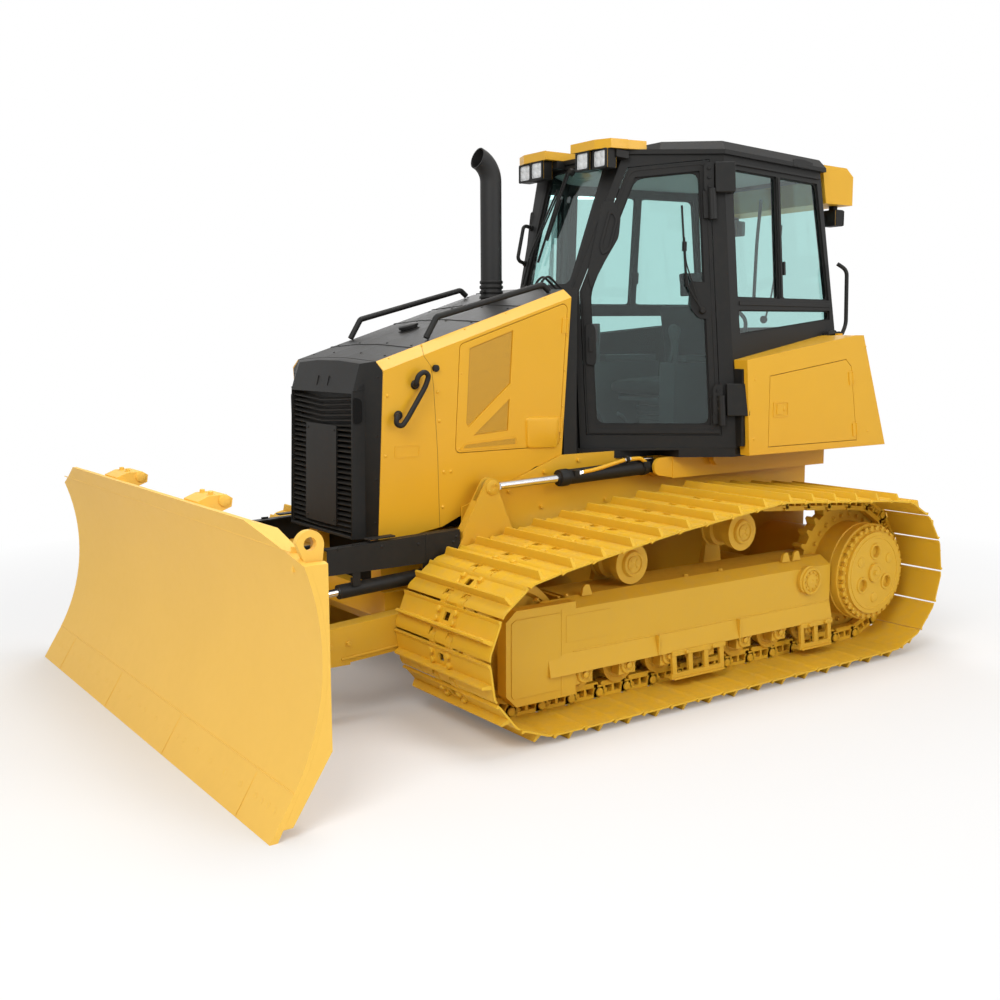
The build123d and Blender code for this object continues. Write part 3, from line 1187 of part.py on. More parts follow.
with BuildPart() as blade_frame:
    # ribs and end plates
    ribs = [(BLADE_HALF, END_PLATE, END_BACK_X), (1300, 16, BACK_X), (950, 16, BACK_X), (600, 16, BACK_X),
            (-584, 16, BACK_X), (-934, 16, BACK_X), (-1284, 16, BACK_X), (END_PLATE - BLADE_HALF, END_PLATE, END_BACK_X)]
    for rib_y, thickness, back_x in ribs:  # face furthest left, thickness, rear edge
        with BuildSketch(side_plane(rib_y)):
            Polygon((back_x, 310), (2268, 45), (2400, 45), (2400, 1100), (back_x + 90, 1100), (back_x, 1045),
                    align=None)
        extrude(amount=thickness)
    # upper, middle and lower beams
    for beam_half, beam in (
            (BLADE_HALF - 20, [(2150, 1060), (2250, 1060), (2250, 1168), (2150, 1140)]),
            (1290, [(BACK_X, 700), (2200, 700), (2200, 720), (BACK_X, 720)]),
            (1290, [(BACK_X, 320), (2300, 320), (2300, 345), (BACK_X, 345)]),
            (BLADE_HALF - 20, [(2190, 168), (2260, 168), (2260, 240), (2150, 240)])):
        with BuildSketch(side_plane(beam_half)):
            Polygon(*beam, align=None)
        extrude(amount=2 * beam_half)
    # hub on the tilt shaft
    with BuildSketch(Plane.YZ.offset(HUB_BACK_X)):
        with Locations((0, TILT_Z)):
            Rectangle(200, 190)
    extrude(amount=200)
    with BuildSketch(Plane.YZ.offset(BACK_X)):
        with Locations((0, 530)):
            Rectangle(600, 425)
    extrude(amount=14)
    # lugs of the angle rods
    for side in (1, -1):
        for lug_z in (ANGLE_EYE_Z + ANGLE_LUG_GAP / 2, ANGLE_EYE_Z - ANGLE_LUG_GAP / 2 - 14):
            with BuildSketch(Plane.XY.offset(lug_z)):
                with Locations((ANGLE_EYE_X, side * ANGLE_Y)):
                    Circle(45)
                Polygon((ANGLE_EYE_X, side * (ANGLE_Y - 45)), (BACK_X + 80, side * (ANGLE_Y - 90)),
                        (BACK_X + 80, side * (ANGLE_Y + 115)), (ANGLE_EYE_X, side * (ANGLE_Y + 45)), align=None)
            extrude(amount=14)
    # lug of the tilt rod
    with BuildSketch(Plane.YZ.offset(TOWER_X)):
        with Locations((TILT_EYE_Y, TILT_CYLINDER_Z)):
            Circle(48)
        Polygon((TILT_EYE_Y - 48, TILT_CYLINDER_Z), (TILT_EYE_Y + 48, TILT_CYLINDER_Z), (TILT_EYE_Y + 70, 700),
                (TILT_EYE_Y - 70, 700), align=None)
    extrude(amount=20)
    with BuildSketch(side_plane(TILT_EYE_Y + 14)):
        Polygon((TOWER_X + 10, 700), (2200, 700), (2200, 880), (TOWER_X + 10, 880), align=None)
    extrude(amount=20)
    with BuildSketch(Plane.YZ.offset(2000)):
        for side in (1, -1):
            Polygon(*[(side * y, z) for y, z in corner_trim], align=None)
    extrude(amount=500, mode=Mode.SUBTRACT)
    # lifting ear at the left end
    with BuildSketch(side_plane(BLADE_HALF - 35)):
        with Locations((2150, 1110)):
            Circle(58)
        Polygon((2092, 1110), (2208, 1110), (2208, 1010), (2108, 980), align=None)
        with Locations((2150, 1116)):
            Circle(26, mode=Mode.SUBTRACT)
    extrude(amount=28)
    with BuildSketch(side_plane(BLADE_HALF - END_PLATE + 5)):
        Polygon((2110, 985), (2180, 985), (2180, 1040), (2110, 1040), align=None)
    extrude(amount=END_PLATE)
    # everything ahead of the moldboard's back and of the cutting edge's back is open
    with BuildSketch(side_plane(BLADE_HALF + 10)):
        Polygon(*frame_front, (2330.7, 0), (2600, 0), (2600, 1400),
                (BLADE_TOP_X - MOLDBOARD_THICKNESS - SEATED, 1400), align=None)
    extrude(amount=BLADE_WIDTH + 20, mode=Mode.SUBTRACT)
    with BuildSketch(Plane.YZ.offset(HUB_BACK_X - 10)):
        with Locations((0, TILT_Z)):
            Circle(TILT_SHAFT_RADIUS + RUN_GAP)
    extrude(amount=66 + 4, mode=Mode.SUBTRACT)
save(blade_frame.part, "blade_frame")

with BuildPart() as cutting_edge:
    splits = [-BLADE_HALF, -1290, -430, 430, 1290, BLADE_HALF]
    for right_y, left_y in zip(splits[:-1], splits[1:]):
        with BuildSketch(side_plane(left_y - 0.5)):
            Polygon((EDGE_TOP_X - 22, EDGE_TOP_Z - 0.3), (EDGE_TOP_X, EDGE_TOP_Z - 0.3), (EDGE_TIP_X, 0),
                    (EDGE_TIP_X - 34, 0), align=None)
        extrude(amount=left_y - right_y - 1)
save(cutting_edge.part, "cutting_edge")

# ---------------------------------------------------------------- cylinders

LIFT_AXIS = Vector(BRACKET_PIN_X - BARREL_PIN_X, 0, BRACKET_PIN_Z - BARREL_PIN_Z)
LIFT_PLANE = Plane(origin=(BARREL_PIN_X, LIFT_Y, BARREL_PIN_Z), x_dir=(0, 1, 0), z_dir=LIFT_AXIS)
with BuildPart() as lift_barrel:
    with BuildSketch(LIFT_PLANE.offset(56)):
        Circle(LIFT_BARREL_RADIUS)
    extrude(amount=LIFT_BARREL_LENGTH - 56)
    with BuildSketch(LIFT_PLANE):
        Rectangle(60, 60)
    extrude(amount=60)
    with BuildSketch(side_plane(LIFT_Y + EAR_GAP - 5)):
        with Locations((BARREL_PIN_X, BARREL_PIN_Z)):
            Circle(40)
    extrude(amount=2 * EAR_GAP - 10)
    with BuildSketch(side_plane(LIFT_Y + EAR_GAP)):
        with Locations((BARREL_PIN_X, BARREL_PIN_Z)):
            Circle(LIFT_PIN_RADIUS + RUN_GAP)
    extrude(amount=2 * EAR_GAP, mode=Mode.SUBTRACT)
    with BuildSketch(LIFT_PLANE.offset(LIFT_BARREL_LENGTH)):
        Circle(LIFT_ROD_RADIUS + RUN_GAP)
    extrude(amount=-590, mode=Mode.SUBTRACT)
save_pair(lift_barrel.part, "lift_barrel")

with BuildPart() as lift_rod:
    with BuildSketch(LIFT_PLANE.offset(LIFT_BARREL_LENGTH - 215)):
        Circle(LIFT_ROD_RADIUS)
    extrude(amount=LIFT_AXIS.length - 64 - LIFT_BARREL_LENGTH + 215)
    with BuildSketch(LIFT_PLANE.offset(LIFT_AXIS.length - 66)):
        Rectangle(30, 36)
    extrude(amount=40)
    with BuildSketch(side_plane(LIFT_Y + 15)):
        with Locations((BRACKET_PIN_X, BRACKET_PIN_Z)):
            Circle(LIFT_EYE_RADIUS)
            Circle(18, mode=Mode.SUBTRACT)
    extrude(amount=30)
save_pair(lift_rod.part, "lift_rod")

ANGLE_AXIS = Vector(ANGLE_EYE_X - ANGLE_BASE_X, 0, ANGLE_EYE_Z - ANGLE_BASE_Z)
ANGLE_PLANE = Plane(origin=(ANGLE_BASE_X, ANGLE_Y, ANGLE_BASE_Z), x_dir=(0, 1, 0), z_dir=ANGLE_AXIS)
with BuildPart() as angle_barrel:
    with BuildSketch(ANGLE_PLANE.offset(44)):
        Circle(ANGLE_BARREL_RADIUS)
    extrude(amount=ANGLE_BARREL_LENGTH - 44)
    with BuildSketch(ANGLE_PLANE):
        Rectangle(56, 44)
    extrude(amount=50)
    with BuildSketch(side_plane(ANGLE_Y + 34)):
        with Locations((ANGLE_BASE_X, ANGLE_BASE_Z)):
            Circle(30)
    extrude(amount=66)
    with BuildSketch(side_plane(ANGLE_Y + 40)):
        with Locations((ANGLE_BASE_X, ANGLE_BASE_Z)):
            Circle(CYLINDER_PIN_RADIUS + RUN_GAP)
    extrude(amount=80, mode=Mode.SUBTRACT)
    # guard over the barrel
    with BuildSketch(side_plane(ANGLE_Y + GUARD_REACH)):
        Polygon((800, 752), (800, 903), (1560, 876), (1560, 748), align=None)
    extrude(amount=5)
    with BuildSketch(side_plane(ANGLE_Y + GUARD_REACH)):
        Polygon((800, 895), (800, 903), (1560, 876), (1560, 868), align=None)
    extrude(amount=GUARD_WIDTH)
    for stay_x in (1000, 1400):
        with BuildSketch(side_plane(ANGLE_Y + GUARD_REACH - 4)):
            with Locations((stay_x, 798)):
                Rectangle(40, 186)
        extrude(amount=8)
        with BuildSketch(side_plane(ANGLE_Y + GUARD_REACH - 4)):
            with Locations((stay_x, 700)):
                Rectangle(40, 40)
        extrude(amount=30)
    with BuildSketch(ANGLE_PLANE.offset(ANGLE_BARREL_LENGTH)):
        Circle(ANGLE_ROD_RADIUS + RUN_GAP)
    extrude(amount=-570, mode=Mode.SUBTRACT)
save_pair(angle_barrel.part, "angle_barrel")

with BuildPart() as angle_rod:
    with BuildSketch(ANGLE_PLANE.offset(ANGLE_BARREL_LENGTH - 260)):
        Circle(ANGLE_ROD_RADIUS)
    extrude(amount=ANGLE_AXIS.length - 30 - ANGLE_BARREL_LENGTH + 260)
    with BuildSketch(Plane.XY.offset(ANGLE_EYE_Z - 18)):
        with Locations((ANGLE_EYE_X, ANGLE_Y)):
            Circle(34)
            Circle(16, mode=Mode.SUBTRACT)
    extrude(amount=36)
save_pair(angle_rod.part, "angle_rod")

TILT_AXIS_PLANE = Plane(origin=(TILT_CYLINDER_X, TILT_BASE_Y, TILT_CYLINDER_Z), x_dir=(1, 0, 0), z_dir=(0, -1, 0))
TILT_LENGTH = TILT_BASE_Y - TILT_EYE_Y
with BuildPart() as tilt_barrel:
    with BuildSketch(TILT_AXIS_PLANE.offset(44)):
        Circle(TILT_BARREL_RADIUS)
    extrude(amount=TILT_BARREL_LENGTH - 44)
    with BuildSketch(TILT_AXIS_PLANE):
        Rectangle(50, 46)
    extrude(amount=50)
    with BuildSketch(Plane.YZ.offset(TILT_CYLINDER_X - 30)):
        with Locations((TILT_BASE_Y, TILT_CYLINDER_Z)):
            Circle(34)
    extrude(amount=60)
    with BuildSketch(Plane.YZ.offset(TILT_CYLINDER_X - 40)):
        with Locations((TILT_BASE_Y, TILT_CYLINDER_Z)):
            Circle(CYLINDER_PIN_RADIUS + RUN_GAP)
    extrude(amount=80, mode=Mode.SUBTRACT)
    with BuildSketch(TILT_AXIS_PLANE.offset(TILT_BARREL_LENGTH)):
        Circle(TILT_ROD_RADIUS + RUN_GAP)
    extrude(amount=-330, mode=Mode.SUBTRACT)
save(tilt_barrel.part, "tilt_barrel")

with BuildPart() as tilt_rod:
    with BuildSketch(TILT_AXIS_PLANE.offset(TILT_BARREL_LENGTH - 150)):
        Circle(TILT_ROD_RADIUS)
    extrude(amount=TILT_LENGTH - 30 - TILT_BARREL_LENGTH + 150)
    with BuildSketch(Plane.YZ.offset(TILT_CYLINDER_X - 24)):
        with Locations((TILT_EYE_Y, TILT_CYLINDER_Z)):
            Circle(36)
            Circle(16, mode=Mode.SUBTRACT)
    extrude(amount=48)
save(tilt_rod.part, "tilt_rod")
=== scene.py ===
"""A crawler bulldozer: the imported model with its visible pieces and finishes."""

import json
import math

import bmesh
import bpy
from mathutils import Matrix, Vector


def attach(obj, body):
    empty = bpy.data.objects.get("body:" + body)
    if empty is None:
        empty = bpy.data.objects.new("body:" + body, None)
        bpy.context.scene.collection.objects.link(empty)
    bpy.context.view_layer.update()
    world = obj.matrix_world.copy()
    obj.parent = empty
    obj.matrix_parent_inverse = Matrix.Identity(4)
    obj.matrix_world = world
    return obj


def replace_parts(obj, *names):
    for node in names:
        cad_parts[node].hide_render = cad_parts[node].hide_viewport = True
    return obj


bl_info = {
    "name": "Crawler bulldozer",
    "version": (1, 0, 0),
    "blender": (4, 5, 0),
    "location": "View3D > Sidebar > Bulldozer",
    "description": "Builds the visible pieces and finishes of a crawler bulldozer on its packed model",
    "category": "Object",
}

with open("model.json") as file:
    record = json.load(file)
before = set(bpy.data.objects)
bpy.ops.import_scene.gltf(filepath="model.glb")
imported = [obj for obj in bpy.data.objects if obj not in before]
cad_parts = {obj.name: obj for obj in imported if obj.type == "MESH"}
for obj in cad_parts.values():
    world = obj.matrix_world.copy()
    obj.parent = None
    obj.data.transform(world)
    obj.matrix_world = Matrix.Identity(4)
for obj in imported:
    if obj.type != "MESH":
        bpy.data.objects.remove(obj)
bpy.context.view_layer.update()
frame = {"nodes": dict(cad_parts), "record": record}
NODES = frame["nodes"]


# ---------------------------------------------------------------- sizes and colours

class PaintColours(bpy.types.PropertyGroup):
    """Colours of the machine's paints."""

    body: bpy.props.FloatVectorProperty(
        name="Body paint", description="Paint of the hood sides, fenders and deck",
        subtype="COLOR", size=3, min=0, max=1, default=(0.76, 0.41, 0.020))
    running_gear: bpy.props.FloatVectorProperty(
        name="Running gear paint", description="Paint of the track frames, push frame and wheels",
        subtype="COLOR", size=3, min=0, max=1, default=(0.66, 0.38, 0.026))
    tracks: bpy.props.FloatVectorProperty(
        name="Track paint", description="Paint of the shoes and chain",
        subtype="COLOR", size=3, min=0, max=1, default=(0.74, 0.44, 0.024))
    blade: bpy.props.FloatVectorProperty(
        name="Blade paint", description="Paint of the blade's face and back",
        subtype="COLOR", size=3, min=0, max=1, default=(0.88, 0.53, 0.085))
    trim: bpy.props.FloatVectorProperty(
        name="Trim paint", description="Black paint of the cab, hood top and guards",
        subtype="COLOR", size=3, min=0, max=1, default=(0.010, 0.010, 0.0096))
    glass: bpy.props.FloatVectorProperty(
        name="Window tint", description="Tint of the cab's safety glass",
        subtype="COLOR", size=3, min=0, max=1, default=(0.62, 0.82, 0.80))


class StageSettings(bpy.types.PropertyGroup):
    """Camera, lamps and floor."""

    camera_place: bpy.props.FloatVectorProperty(
        name="Camera place", description="Where the camera stands", subtype="TRANSLATION", unit="LENGTH",
        size=3, default=(4.0277, 5.4755, 1.8644))
    camera_heading: bpy.props.FloatProperty(
        name="Camera heading", description="Compass direction of the view, from +X towards +Y",
        subtype="ANGLE", default=math.radians(-125.219))
    camera_pitch: bpy.props.FloatProperty(
        name="Camera pitch", description="Tilt of the view above the horizon", subtype="ANGLE",
        default=math.radians(-7.823))
    camera_roll: bpy.props.FloatProperty(
        name="Camera roll", description="Turn of the camera about its view", subtype="ANGLE",
        default=math.radians(0.228))
    lens: bpy.props.FloatProperty(
        name="Lens", description="Focal length on a 36 mm wide sensor", unit="CAMERA", default=41.705)
    sky: bpy.props.FloatProperty(
        name="Studio fill", description="Strength of the even light from all round", min=0, default=0.5)
    floor_size: bpy.props.FloatProperty(
        name="Floor size", description="Length and width of the studio floor", unit="LENGTH", default=90.0)


GROUPS = (("bulldozer_paint", PaintColours), ("bulldozer_stage", StageSettings))


# ---------------------------------------------------------------- shader groups

NOISE_ROUGHNESS = 0.55
COAT_ROUGHNESS = 0.12
PEEL_DEPTH = 0.0006         # metres
GLASS_IOR = 1.45


def feed(tree, node, inputs):
    """Link a node's inputs, given by label or by number, to sockets, or set them to values."""
    for label, source in inputs.items():
        if isinstance(source, bpy.types.NodeSocket):
            tree.links.new(source, node.inputs[label])
        else:
            node.inputs[label].default_value = source


def add_node(tree, kind, inputs=None, **settings):
    """A shader node with its settings made and its inputs fed."""
    node = tree.nodes.new("ShaderNode" + kind)
    for key, value in settings.items():
        setattr(node, key, value)
    feed(tree, node, inputs or {})
    return node


def new_group(name, inputs, outputs):
    """A shader node group with the named sockets, and its input and output nodes."""
    group = bpy.data.node_groups.new(name, "ShaderNodeTree")
    for kind, label, value in inputs:
        group.interface.new_socket(label, in_out="INPUT",
                                   socket_type="NodeSocket" + kind).default_value = value
    for kind, label in outputs:
        group.interface.new_socket(label, in_out="OUTPUT", socket_type="NodeSocket" + kind)
    return group, group.nodes.new("NodeGroupInput").outputs, group.nodes.new("NodeGroupOutput")


def noise(tree, scale, detail):
    """A noise texture in the object's own space, with its scale fed from a socket or a number."""
    place = add_node(tree, "TexCoord").outputs["Object"]
    return add_node(tree, "TexNoise", {"Vector": place, "Scale": scale, "Detail": detail,
                                       "Roughness": NOISE_ROUGHNESS}).outputs["Fac"]


def axes_of(tree, vector):
    """The x, y and z sockets of a vector."""
    return add_node(tree, "SeparateXYZ", {"Vector": vector}).outputs


def remap(tree, value, low, high, to_low, to_high):
    return add_node(tree, "MapRange", {"Value": value, "From Min": low, "From Max": high, "To Min": to_low,
                                       "To Max": to_high}).outputs["Result"]


def math_node(tree, operation, a, b=0.0):
    return add_node(tree, "Math", {0: a, 1: b}, operation=operation).outputs[0]


def times(tree, a, b):
    return math_node(tree, "MULTIPLY", a, b)


def blend_colour(tree, amount, a, b, mode="MIX"):
    """Two colours mixed; the node's sockets 0, 6, 7 and 2 are the amount, both colours and the result."""
    return add_node(tree, "Mix", {0: amount, 6: a, 7: b}, data_type="RGBA", blend_type=mode).outputs[2]


def paint_film_group():
    """Sprayed paint: broad tone drift, thin dust on upward faces and orange peel."""
    tree, given, made = new_group(
        "Paint film",
        [("Color", "Colour", (0.8, 0.5, 0.05, 1)), ("Color", "Dust Colour", (0.45, 0.33, 0.18, 1)),
         ("Float", "Dust", 0.15), ("Float", "Drift", 0.08), ("Float", "Peel Scale", 420.0),
         ("Float", "Roughness", 0.4)],
        [("Color", "Colour"), ("Float", "Roughness"), ("Float", "Height")])
    broad, fine = noise(tree, 1.7, 3), noise(tree, 23.0, 5)
    darker = blend_colour(tree, 1.0, given["Colour"], (0.74, 0.70, 0.62, 1), "MULTIPLY")
    drift = times(tree, remap(tree, broad, 0.35, 0.65, 0.0, 1.0), given["Drift"])
    toned = blend_colour(tree, drift, given["Colour"], darker)
    facing = axes_of(tree, add_node(tree, "NewGeometry").outputs["Normal"])["Z"]
    upward = remap(tree, facing, 0.2, 1.0, 0.25, 1.0)
    patches = remap(tree, fine, 0.42, 0.68, 0.0, 1.0)
    dust = times(tree, times(tree, upward, patches), given["Dust"])
    rough = math_node(tree, "ADD", given["Roughness"], times(tree, dust, 0.6))
    rough = math_node(tree, "ADD", rough, times(tree, math_node(tree, "SUBTRACT", fine, 0.5), 0.10))
    feed(tree, made, {"Colour": blend_colour(tree, dust, toned, given["Dust Colour"]), "Roughness": rough,
                      "Height": noise(tree, given["Peel Scale"], 2)})
    return tree


# ---------------------------------------------------------------- materials

def new_material(name):
    material = bpy.data.materials.new(name)
    material.use_nodes = True
    return material, material.node_tree, material.node_tree.nodes["Principled BSDF"]


def add_bump(tree, shader, height, strength, distance):
    bump = add_node(tree, "Bump", {"Height": height, "Strength": strength, "Distance": distance})
    feed(tree, shader, {"Normal": bump.outputs["Normal"]})


def painted(name, colour, roughness, dust=0.15, drift=0.10, peel=0.15, coat=0.0, peel_scale=420.0,
            metallic=0.0, shine=0.5):
    """A sprayed, moulded or woven finish; peel is the strength of its fine texture."""
    material, tree, shader = new_material(name)
    group = bpy.data.node_groups.get("Paint film") or paint_film_group()
    film = add_node(tree, "Group", {"Colour": (*colour, 1), "Dust": dust, "Drift": drift,
                                    "Peel Scale": peel_scale, "Roughness": roughness},
                    node_tree=group).outputs
    feed(tree, shader, {"Base Color": film["Colour"], "Roughness": film["Roughness"], "Metallic": metallic,
                        "Specular IOR Level": shine, "Coat Weight": coat, "Coat Roughness": COAT_ROUGHNESS})
    add_bump(tree, shader, film["Height"], peel, PEEL_DEPTH)
    return material


def window_glass(name, tint):
    material, tree, shader = new_material(name)
    feed(tree, shader, {"Base Color": (*tint, 1), "Roughness": 0.0, "IOR": GLASS_IOR,
                        "Transmission Weight": 1.0})
    return material


def perforated_sheet(name, colour):
    """A painted sheet with staggered rows of small round holes, drawn as dark spots of painted shade for the
    space behind them.
    """
    material = painted(name, colour, 0.45, dust=0.05)
    tree = material.node_tree
    base = tree.nodes["Principled BSDF"].inputs["Base Color"]
    place = axes_of(tree, add_node(tree, "TexCoord").outputs["Object"])
    pitch_x, pitch_z = 0.0056, 0.0048
    row = math_node(tree, "DIVIDE", place["Z"], pitch_z)
    shift = times(tree, math_node(tree, "MODULO", math_node(tree, "FLOOR", row), 2.0), 0.5)
    column = math_node(tree, "ADD", math_node(tree, "DIVIDE", place["X"], pitch_x), shift)
    u, v = (math_node(tree, "SUBTRACT", math_node(tree, "FRACT", way), 0.5) for way in (column, row))
    reach = math_node(tree, "SQRT", math_node(tree, "ADD", times(tree, u, u), times(tree, v, v)))
    hole_shade = remap(tree, reach, 0.30, 0.36, 1.0, 0.0)     # round, with a soft rim
    # the holes are painted shade: a dark brown for the dim space behind the sheet, not cut through
    tree.links.new(blend_colour(tree, hole_shade, base.links[0].from_socket, (0.10, 0.05, 0.006, 1)), base)
    return material


def ribbed_lens(name, colour):
    """Moulded clear plastic over a bright reflector, ribbed from top to bottom; the reflector's shine is
    painted into the base colour, and light and dark stripes along the ribs are painted highlight and shade.
    """
    material, tree, shader = new_material(name)
    across = axes_of(tree, add_node(tree, "TexCoord").outputs["Object"])["Y"]
    ribs = 900.0                        # radians of the ribs' wave in a metre
    wave = math_node(tree, "SINE", times(tree, across, ribs))
    # painted highlight and shade: the colour runs from half to full brightness across each rib
    rib_highlight_and_shade = remap(tree, wave, -1.0, 1.0, 0.55, 1.0)
    feed(tree, shader, {"Base Color": blend_colour(tree, rib_highlight_and_shade, (*(0.5 * c for c in colour), 1),
                                                   (*colour, 1)),
                        "Roughness": 0.12, "Coat Weight": 1.0, "Coat Roughness": 0.03})
    add_bump(tree, shader, wave, 0.6, 0.001)
    return material


MATERIALS = {}


def make_materials():
    paint = bpy.context.scene.bulldozer_paint
    MATERIALS.update(
        body_yellow=painted("body_yellow", paint.body, 0.36, dust=0.05, coat=0.08, shine=0.35),
        track_frame_yellow=painted("track_frame_yellow", paint.running_gear, 0.5, dust=0.15, peel=0.3,
                                   shine=0.3),
        track_yellow=painted("track_yellow", paint.tracks, 0.5, dust=0.2, drift=0.3, peel=0.4, shine=0.3),
        blade_yellow=painted("blade_yellow", paint.blade, 0.5, dust=0.05, shine=0.35),
        black_paint=painted("black_paint", paint.trim, 0.52, dust=0.03, peel=0.25, shine=0.25),
        exhaust_steel=painted("exhaust_black", (0.016, 0.016, 0.016), 0.55, dust=0.03, shine=0.3),
        engine_iron=painted("engine_iron", (0.03, 0.03, 0.03), 0.6, shine=0.3),
        radiator_core=painted("radiator_core", (0.008, 0.008, 0.008), 0.8, dust=0.0, shine=0.1),
        seat_fabric=painted("seat_fabric", (0.022, 0.022, 0.025),
                            0.9, peel=0.25, peel_scale=900.0, dust=0.02),
        console_plastic=painted("console_plastic", (0.045, 0.048, 0.05), 0.6, peel=0.04, dust=0.02),
        floor_mat=painted("floor_mat", (0.02, 0.02, 0.02), 0.85),
        lamp_body=painted("lamp_body", (0.02, 0.02, 0.02), 0.5),
        chrome_rod=painted("chrome_rod", (0.75, 0.75, 0.76), 0.12, dust=0.0, drift=0.0, peel=0.02,
                           metallic=1.0),
        tinted_glass=window_glass("tinted_glass", paint.glass),
        # a darker copy of the body paint: painted shade for the gaps along the hood's seams
        seam=painted("seam", tuple(0.45 * c for c in paint.body), 0.6, dust=0.0),
        # perforated: painted shade in its holes
        perforated=perforated_sheet("perforated", paint.body),
        lens=ribbed_lens("lens", (0.82, 0.84, 0.85)),
        tail_lens=ribbed_lens("tail_lens", (0.42, 0.02, 0.015)),
        headliner=painted("headliner", (0.72, 0.73, 0.72), 0.85, dust=0.0, peel=0.4, peel_scale=900.0),
    )


class BULLDOZER_OT_finishes(bpy.types.Operator):
    """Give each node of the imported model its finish"""

    bl_idname = "bulldozer.finishes"
    bl_label = "Finishes"

    def execute(self, context):
        make_materials()
        slots = {entry["node"]: entry["material_slot"] for entry in frame["record"]["subparts"]}
        for name, node in NODES.items():
            node.data.materials.clear()
            node.data.materials.append(MATERIALS[slots[name]])
        return {"FINISHED"}


# ---------------------------------------------------------------- shaping

OUTWARD, UP, AHEAD = (0, 1, 0), (0, 0, 1), (1, 0, 0)
BEVEL_ANGLE = math.radians(35)      # only sharper edges are rounded
LEAST_RADIUS = 0.2                  # keeps the tip of a turned solid open enough to cap


def with_next(items):
    """Each item with the one after it, and the last with the first."""
    return list(zip(items, items[1:] + items[:1]))


def spokes(axis, sides, turn=0.0, first=None):
    """Unit vectors square to an axis, all the way round it."""
    first = first or axis.orthogonal().normalized()
    up = axis.cross(first)
    return [first * math.cos(angle) + up * math.sin(angle)
            for angle in (turn + 2 * math.pi * i / sides for i in range(sides))]


def new_piece(name, mesh, finish):
    """An object in the scene made from a bmesh, with its finish."""
    data = bpy.data.meshes.new(name)
    mesh.to_mesh(data)
    mesh.free()
    for face in data.polygons:
        face.use_smooth = True
    piece = bpy.data.objects.new(name, data)
    bpy.context.scene.collection.objects.link(piece)
    data.materials.append(MATERIALS[finish])
    return piece


class Shape:
    """The mesh of one piece, laid out in millimetres in the machine's own axes."""

    def __init__(self):
        self.mesh = bmesh.new()

    def loft(self, rings, closed=False):
        """A skin over rings of equal size, capped at both ends unless it closes on itself."""
        rows = [[self.mesh.verts.new(corner) for corner in ring] for ring in rings]
        count = len(rows[0])
        for near, far in with_next(rows) if closed else zip(rows, rows[1:]):
            for i in range(count):
                self.mesh.faces.new((near[i], near[(i + 1) % count], far[(i + 1) % count], far[i]))
        if not closed:
            self.mesh.faces.new(rows[0][::-1])
            self.mesh.faces.new(rows[-1])

    def sweep(self, corners, travel):
        """A solid swept from a flat outline along a vector."""
        corners = [Vector(corner) for corner in corners]
        self.loft([corners, [corner + Vector(travel) for corner in corners]])

    def block(self, low, high, cut=0.0):
        """A slab between two corners, with its upright edges cut off."""
        (x0, y0, z0), (x1, y1, z1) = low, high
        outline = [(x0 + cut, y0), (x1 - cut, y0), (x1, y0 + cut), (x1, y1 - cut), (x1 - cut, y1),
                   (x0 + cut, y1), (x0, y1 - cut), (x0, y0 + cut)] if cut else oblong(x0, y0, x1, y1)
        self.sweep([(x, y, z0) for x, y in outline], (0, 0, z1 - z0))

    def side_plate(self, outline, y0, y1):
        """A plate with an outline in side view, between two widths."""
        self.sweep([(x, y0, z) for x, z in outline], (0, y1 - y0, 0))

    def turned(self, base, axis, profile, sides=20, turn=0.0):
        """A turned solid, from (way along its axis, radius) pairs."""
        base, axis = Vector(base), Vector(axis).normalized()
        rim = spokes(axis, sides, turn)
        self.loft([[base + axis * way + spoke * max(radius, LEAST_RADIUS) for spoke in rim]
                   for way, radius in profile])

    def band(self, base, axis, profile, sides=32):
        """A turned ring whose section is a closed loop of (way along the axis, radius) pairs."""
        base, axis = Vector(base), Vector(axis).normalized()
        self.loft([[base + axis * way + spoke * radius for way, radius in profile]
                   for spoke in spokes(axis, sides)], closed=True)

    def bolt(self, place, axis, across, height):
        """A hexagon head on its washer."""
        washer, head = across * 0.68, across * 0.5
        self.turned(place, axis, [(0, washer), (2.5, washer), (2.5, across * 0.62)], 14)
        self.turned(place, axis, [(2, head), (height - 2, head), (height, across * 0.42)], 6, 0.3)

    def bolts(self, places, axis, across, height):
        for place in places:
            self.bolt(place, axis, across, height)

    def rivets(self, places, axis, radius):
        """Low domed heads."""
        for place in places:
            self.turned(place, axis, [(0, radius), (radius * 0.3, radius * 0.86),
                                      (radius * 0.55, radius * 0.45)], 12)

    def bar(self, route, radius, bend=40.0, sides=10):
        """A round bar along a route whose corners are bent."""
        self.loft(swept_rings(bent_route(route, bend), radius, sides))

    def frame(self, outer, inner, travel):
        """A flat ring between two outlines of equal size, swept along a vector."""
        travel = Vector(travel)
        self.loft([[Vector(a), Vector(b), Vector(b) + travel, Vector(a) + travel]
                   for a, b in zip(outer, inner)], closed=True)

    def flip(self):
        """Mirror the piece to the machine's other side."""
        for vert in self.mesh.verts:
            vert.co.y = -vert.co.y

    def place(self, name, body, slot, finish=None, bevel=0.0, smooth=40):
        """Make the object, give it its finish and set it on its body."""
        bmesh.ops.recalc_face_normals(self.mesh, faces=self.mesh.faces)
        bmesh.ops.scale(self.mesh, vec=(0.001, 0.001, 0.001), verts=self.mesh.verts)
        piece = new_piece(name, self.mesh, finish or slot)
        piece.data.set_sharp_from_angle(angle=math.radians(smooth))
        if bevel:
            rounding = piece.modifiers.new("edges", "BEVEL")
            rounding.width = bevel / 1000
            rounding.segments = 2
            rounding.limit_method = "ANGLE"
            rounding.angle_limit = BEVEL_ANGLE
        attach(piece, body)
        return piece


